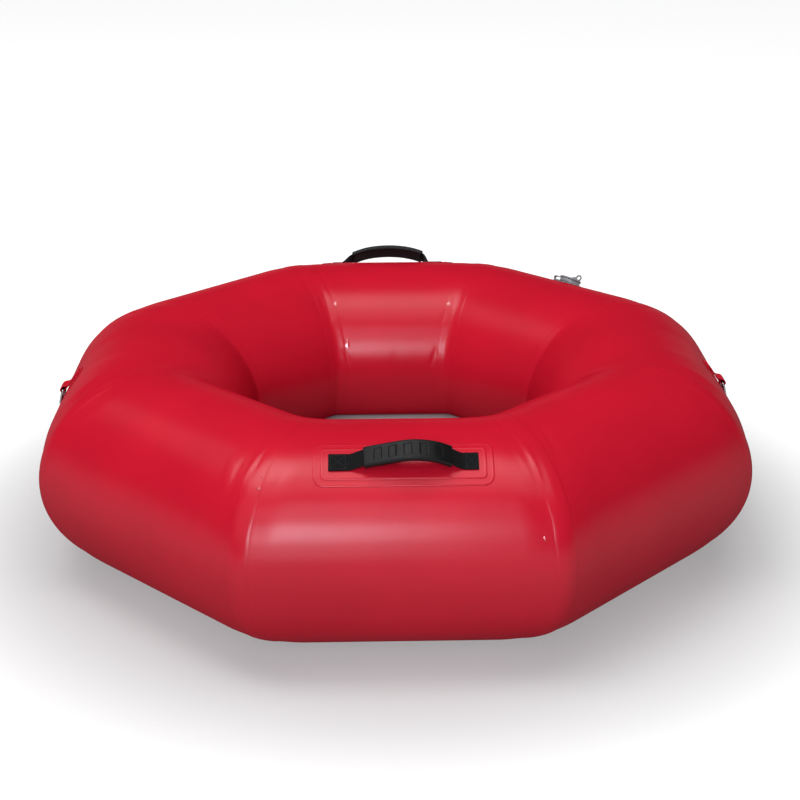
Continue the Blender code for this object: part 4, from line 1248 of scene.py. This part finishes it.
def fade(tree, source, start, end, first, last):
    """A smooth change from the first value to the last as the source goes from start to end."""
    node = add(tree, "MapRange", source, start, end, first, last, interpolation_type="SMOOTHSTEP")
    return node.outputs["Result"]


def build_floor_plane():
    """The pale floor glows to camera, mirror and glass, less so near the ring: there the lower glow is
    painted shade, which deepens the ring's shadow and dims what the ring's lower skin reflects.
    """
    mesh = bpy.data.meshes.new("studio_floor")
    corners = [(x * FLOOR_REACH, y * FLOOR_REACH, 0.0) for x, y in ((-1, -1), (1, -1), (1, 1), (-1, 1))]
    mesh.from_pydata(corners, [], [(0, 1, 2, 3)])
    tree = new_look("studio_floor")
    far = add(tree, "VectorMath", places_on(tree), operation="LENGTH").outputs["Value"]
    glow = fade(tree, far, GLOW_START, GLOW_END, FLOOR_GLOW_NEAR, FLOOR_GLOW_FAR)
    set_shader(tree, {
        "Base Color": FLOOR_COLOUR,
        "Roughness": 0.9,
        "Specular IOR Level": 0.0,
        "Emission Color": WHITE,
        "Emission Strength": result(tree, "MULTIPLY", glow, seen_directly(tree)),
    })
    mesh.materials.append(LOOKS["studio_floor"])
    new_object("studio_floor", mesh)


def build_world():
    """A backdrop that meets the floor's white at the horizon and fades upwards."""
    world = bpy.data.worlds.new("studio")
    bpy.context.scene.world = world
    world.use_nodes = True
    tree = world.node_tree
    height = add(tree, "SeparateXYZ", add(tree, "TexCoord").outputs["Generated"]).outputs["Z"]
    glow = fade(tree, height, 0.0, math.sin(math.radians(HORIZON_FADE)), FLOOR_GLOW_FAR - BACKDROP, 0.0)
    background = tree.nodes["Background"].inputs
    feed(tree, background["Color"], WHITE)
    feed(tree, background["Strength"], result(tree, "MULTIPLY_ADD", glow, seen_directly(tree), BACKDROP))


def area_light(name, azimuth, elevation, wide, tall, radiance, colour):
    """A softbox that faces the ring; its size is in degrees, as the ring sees it."""
    light = bpy.data.lights.new(name, "AREA")
    light.shape = "RECTANGLE"
    light.size = 2.0 * LAMP_DISTANCE * math.tan(0.5 * math.radians(wide))
    light.size_y = 2.0 * LAMP_DISTANCE * math.tan(0.5 * math.radians(tall))
    light.energy = radiance * math.pi * light.size * light.size_y
    light.color = colour
    place = towards(azimuth, elevation) * LAMP_DISTANCE
    obj = new_object(name, light)
    obj.location = STUDIO_CENTRE + place
    obj.rotation_euler = (-place).to_track_quat("-Z", "Y").to_euler()


def build_camera():
    data = bpy.data.cameras.new("camera")
    data.sensor_width = 36.0
    data.lens = CAMERA_LENS
    camera = new_object("camera", data)
    bpy.context.scene.camera = camera
    back = towards(CAMERA_AZIMUTH, CAMERA_ELEVATION)
    right = towards(CAMERA_AZIMUTH + 90.0, 0.0)
    look = Matrix((right, back.cross(right), back)).transposed()
    aim = Euler([math.radians(angle) for angle in CAMERA_AIM], "XYZ").to_matrix()
    place = Matrix.Translation(STUDIO_CENTRE + back * CAMERA_DISTANCE)
    camera.matrix_world = place @ (look @ aim).to_4x4()


build_floor_plane()
build_world()
build_camera()
for lamp in LAMPS:
    area_light(*lamp)

bpy.context.scene.view_settings.view_transform = "Standard"
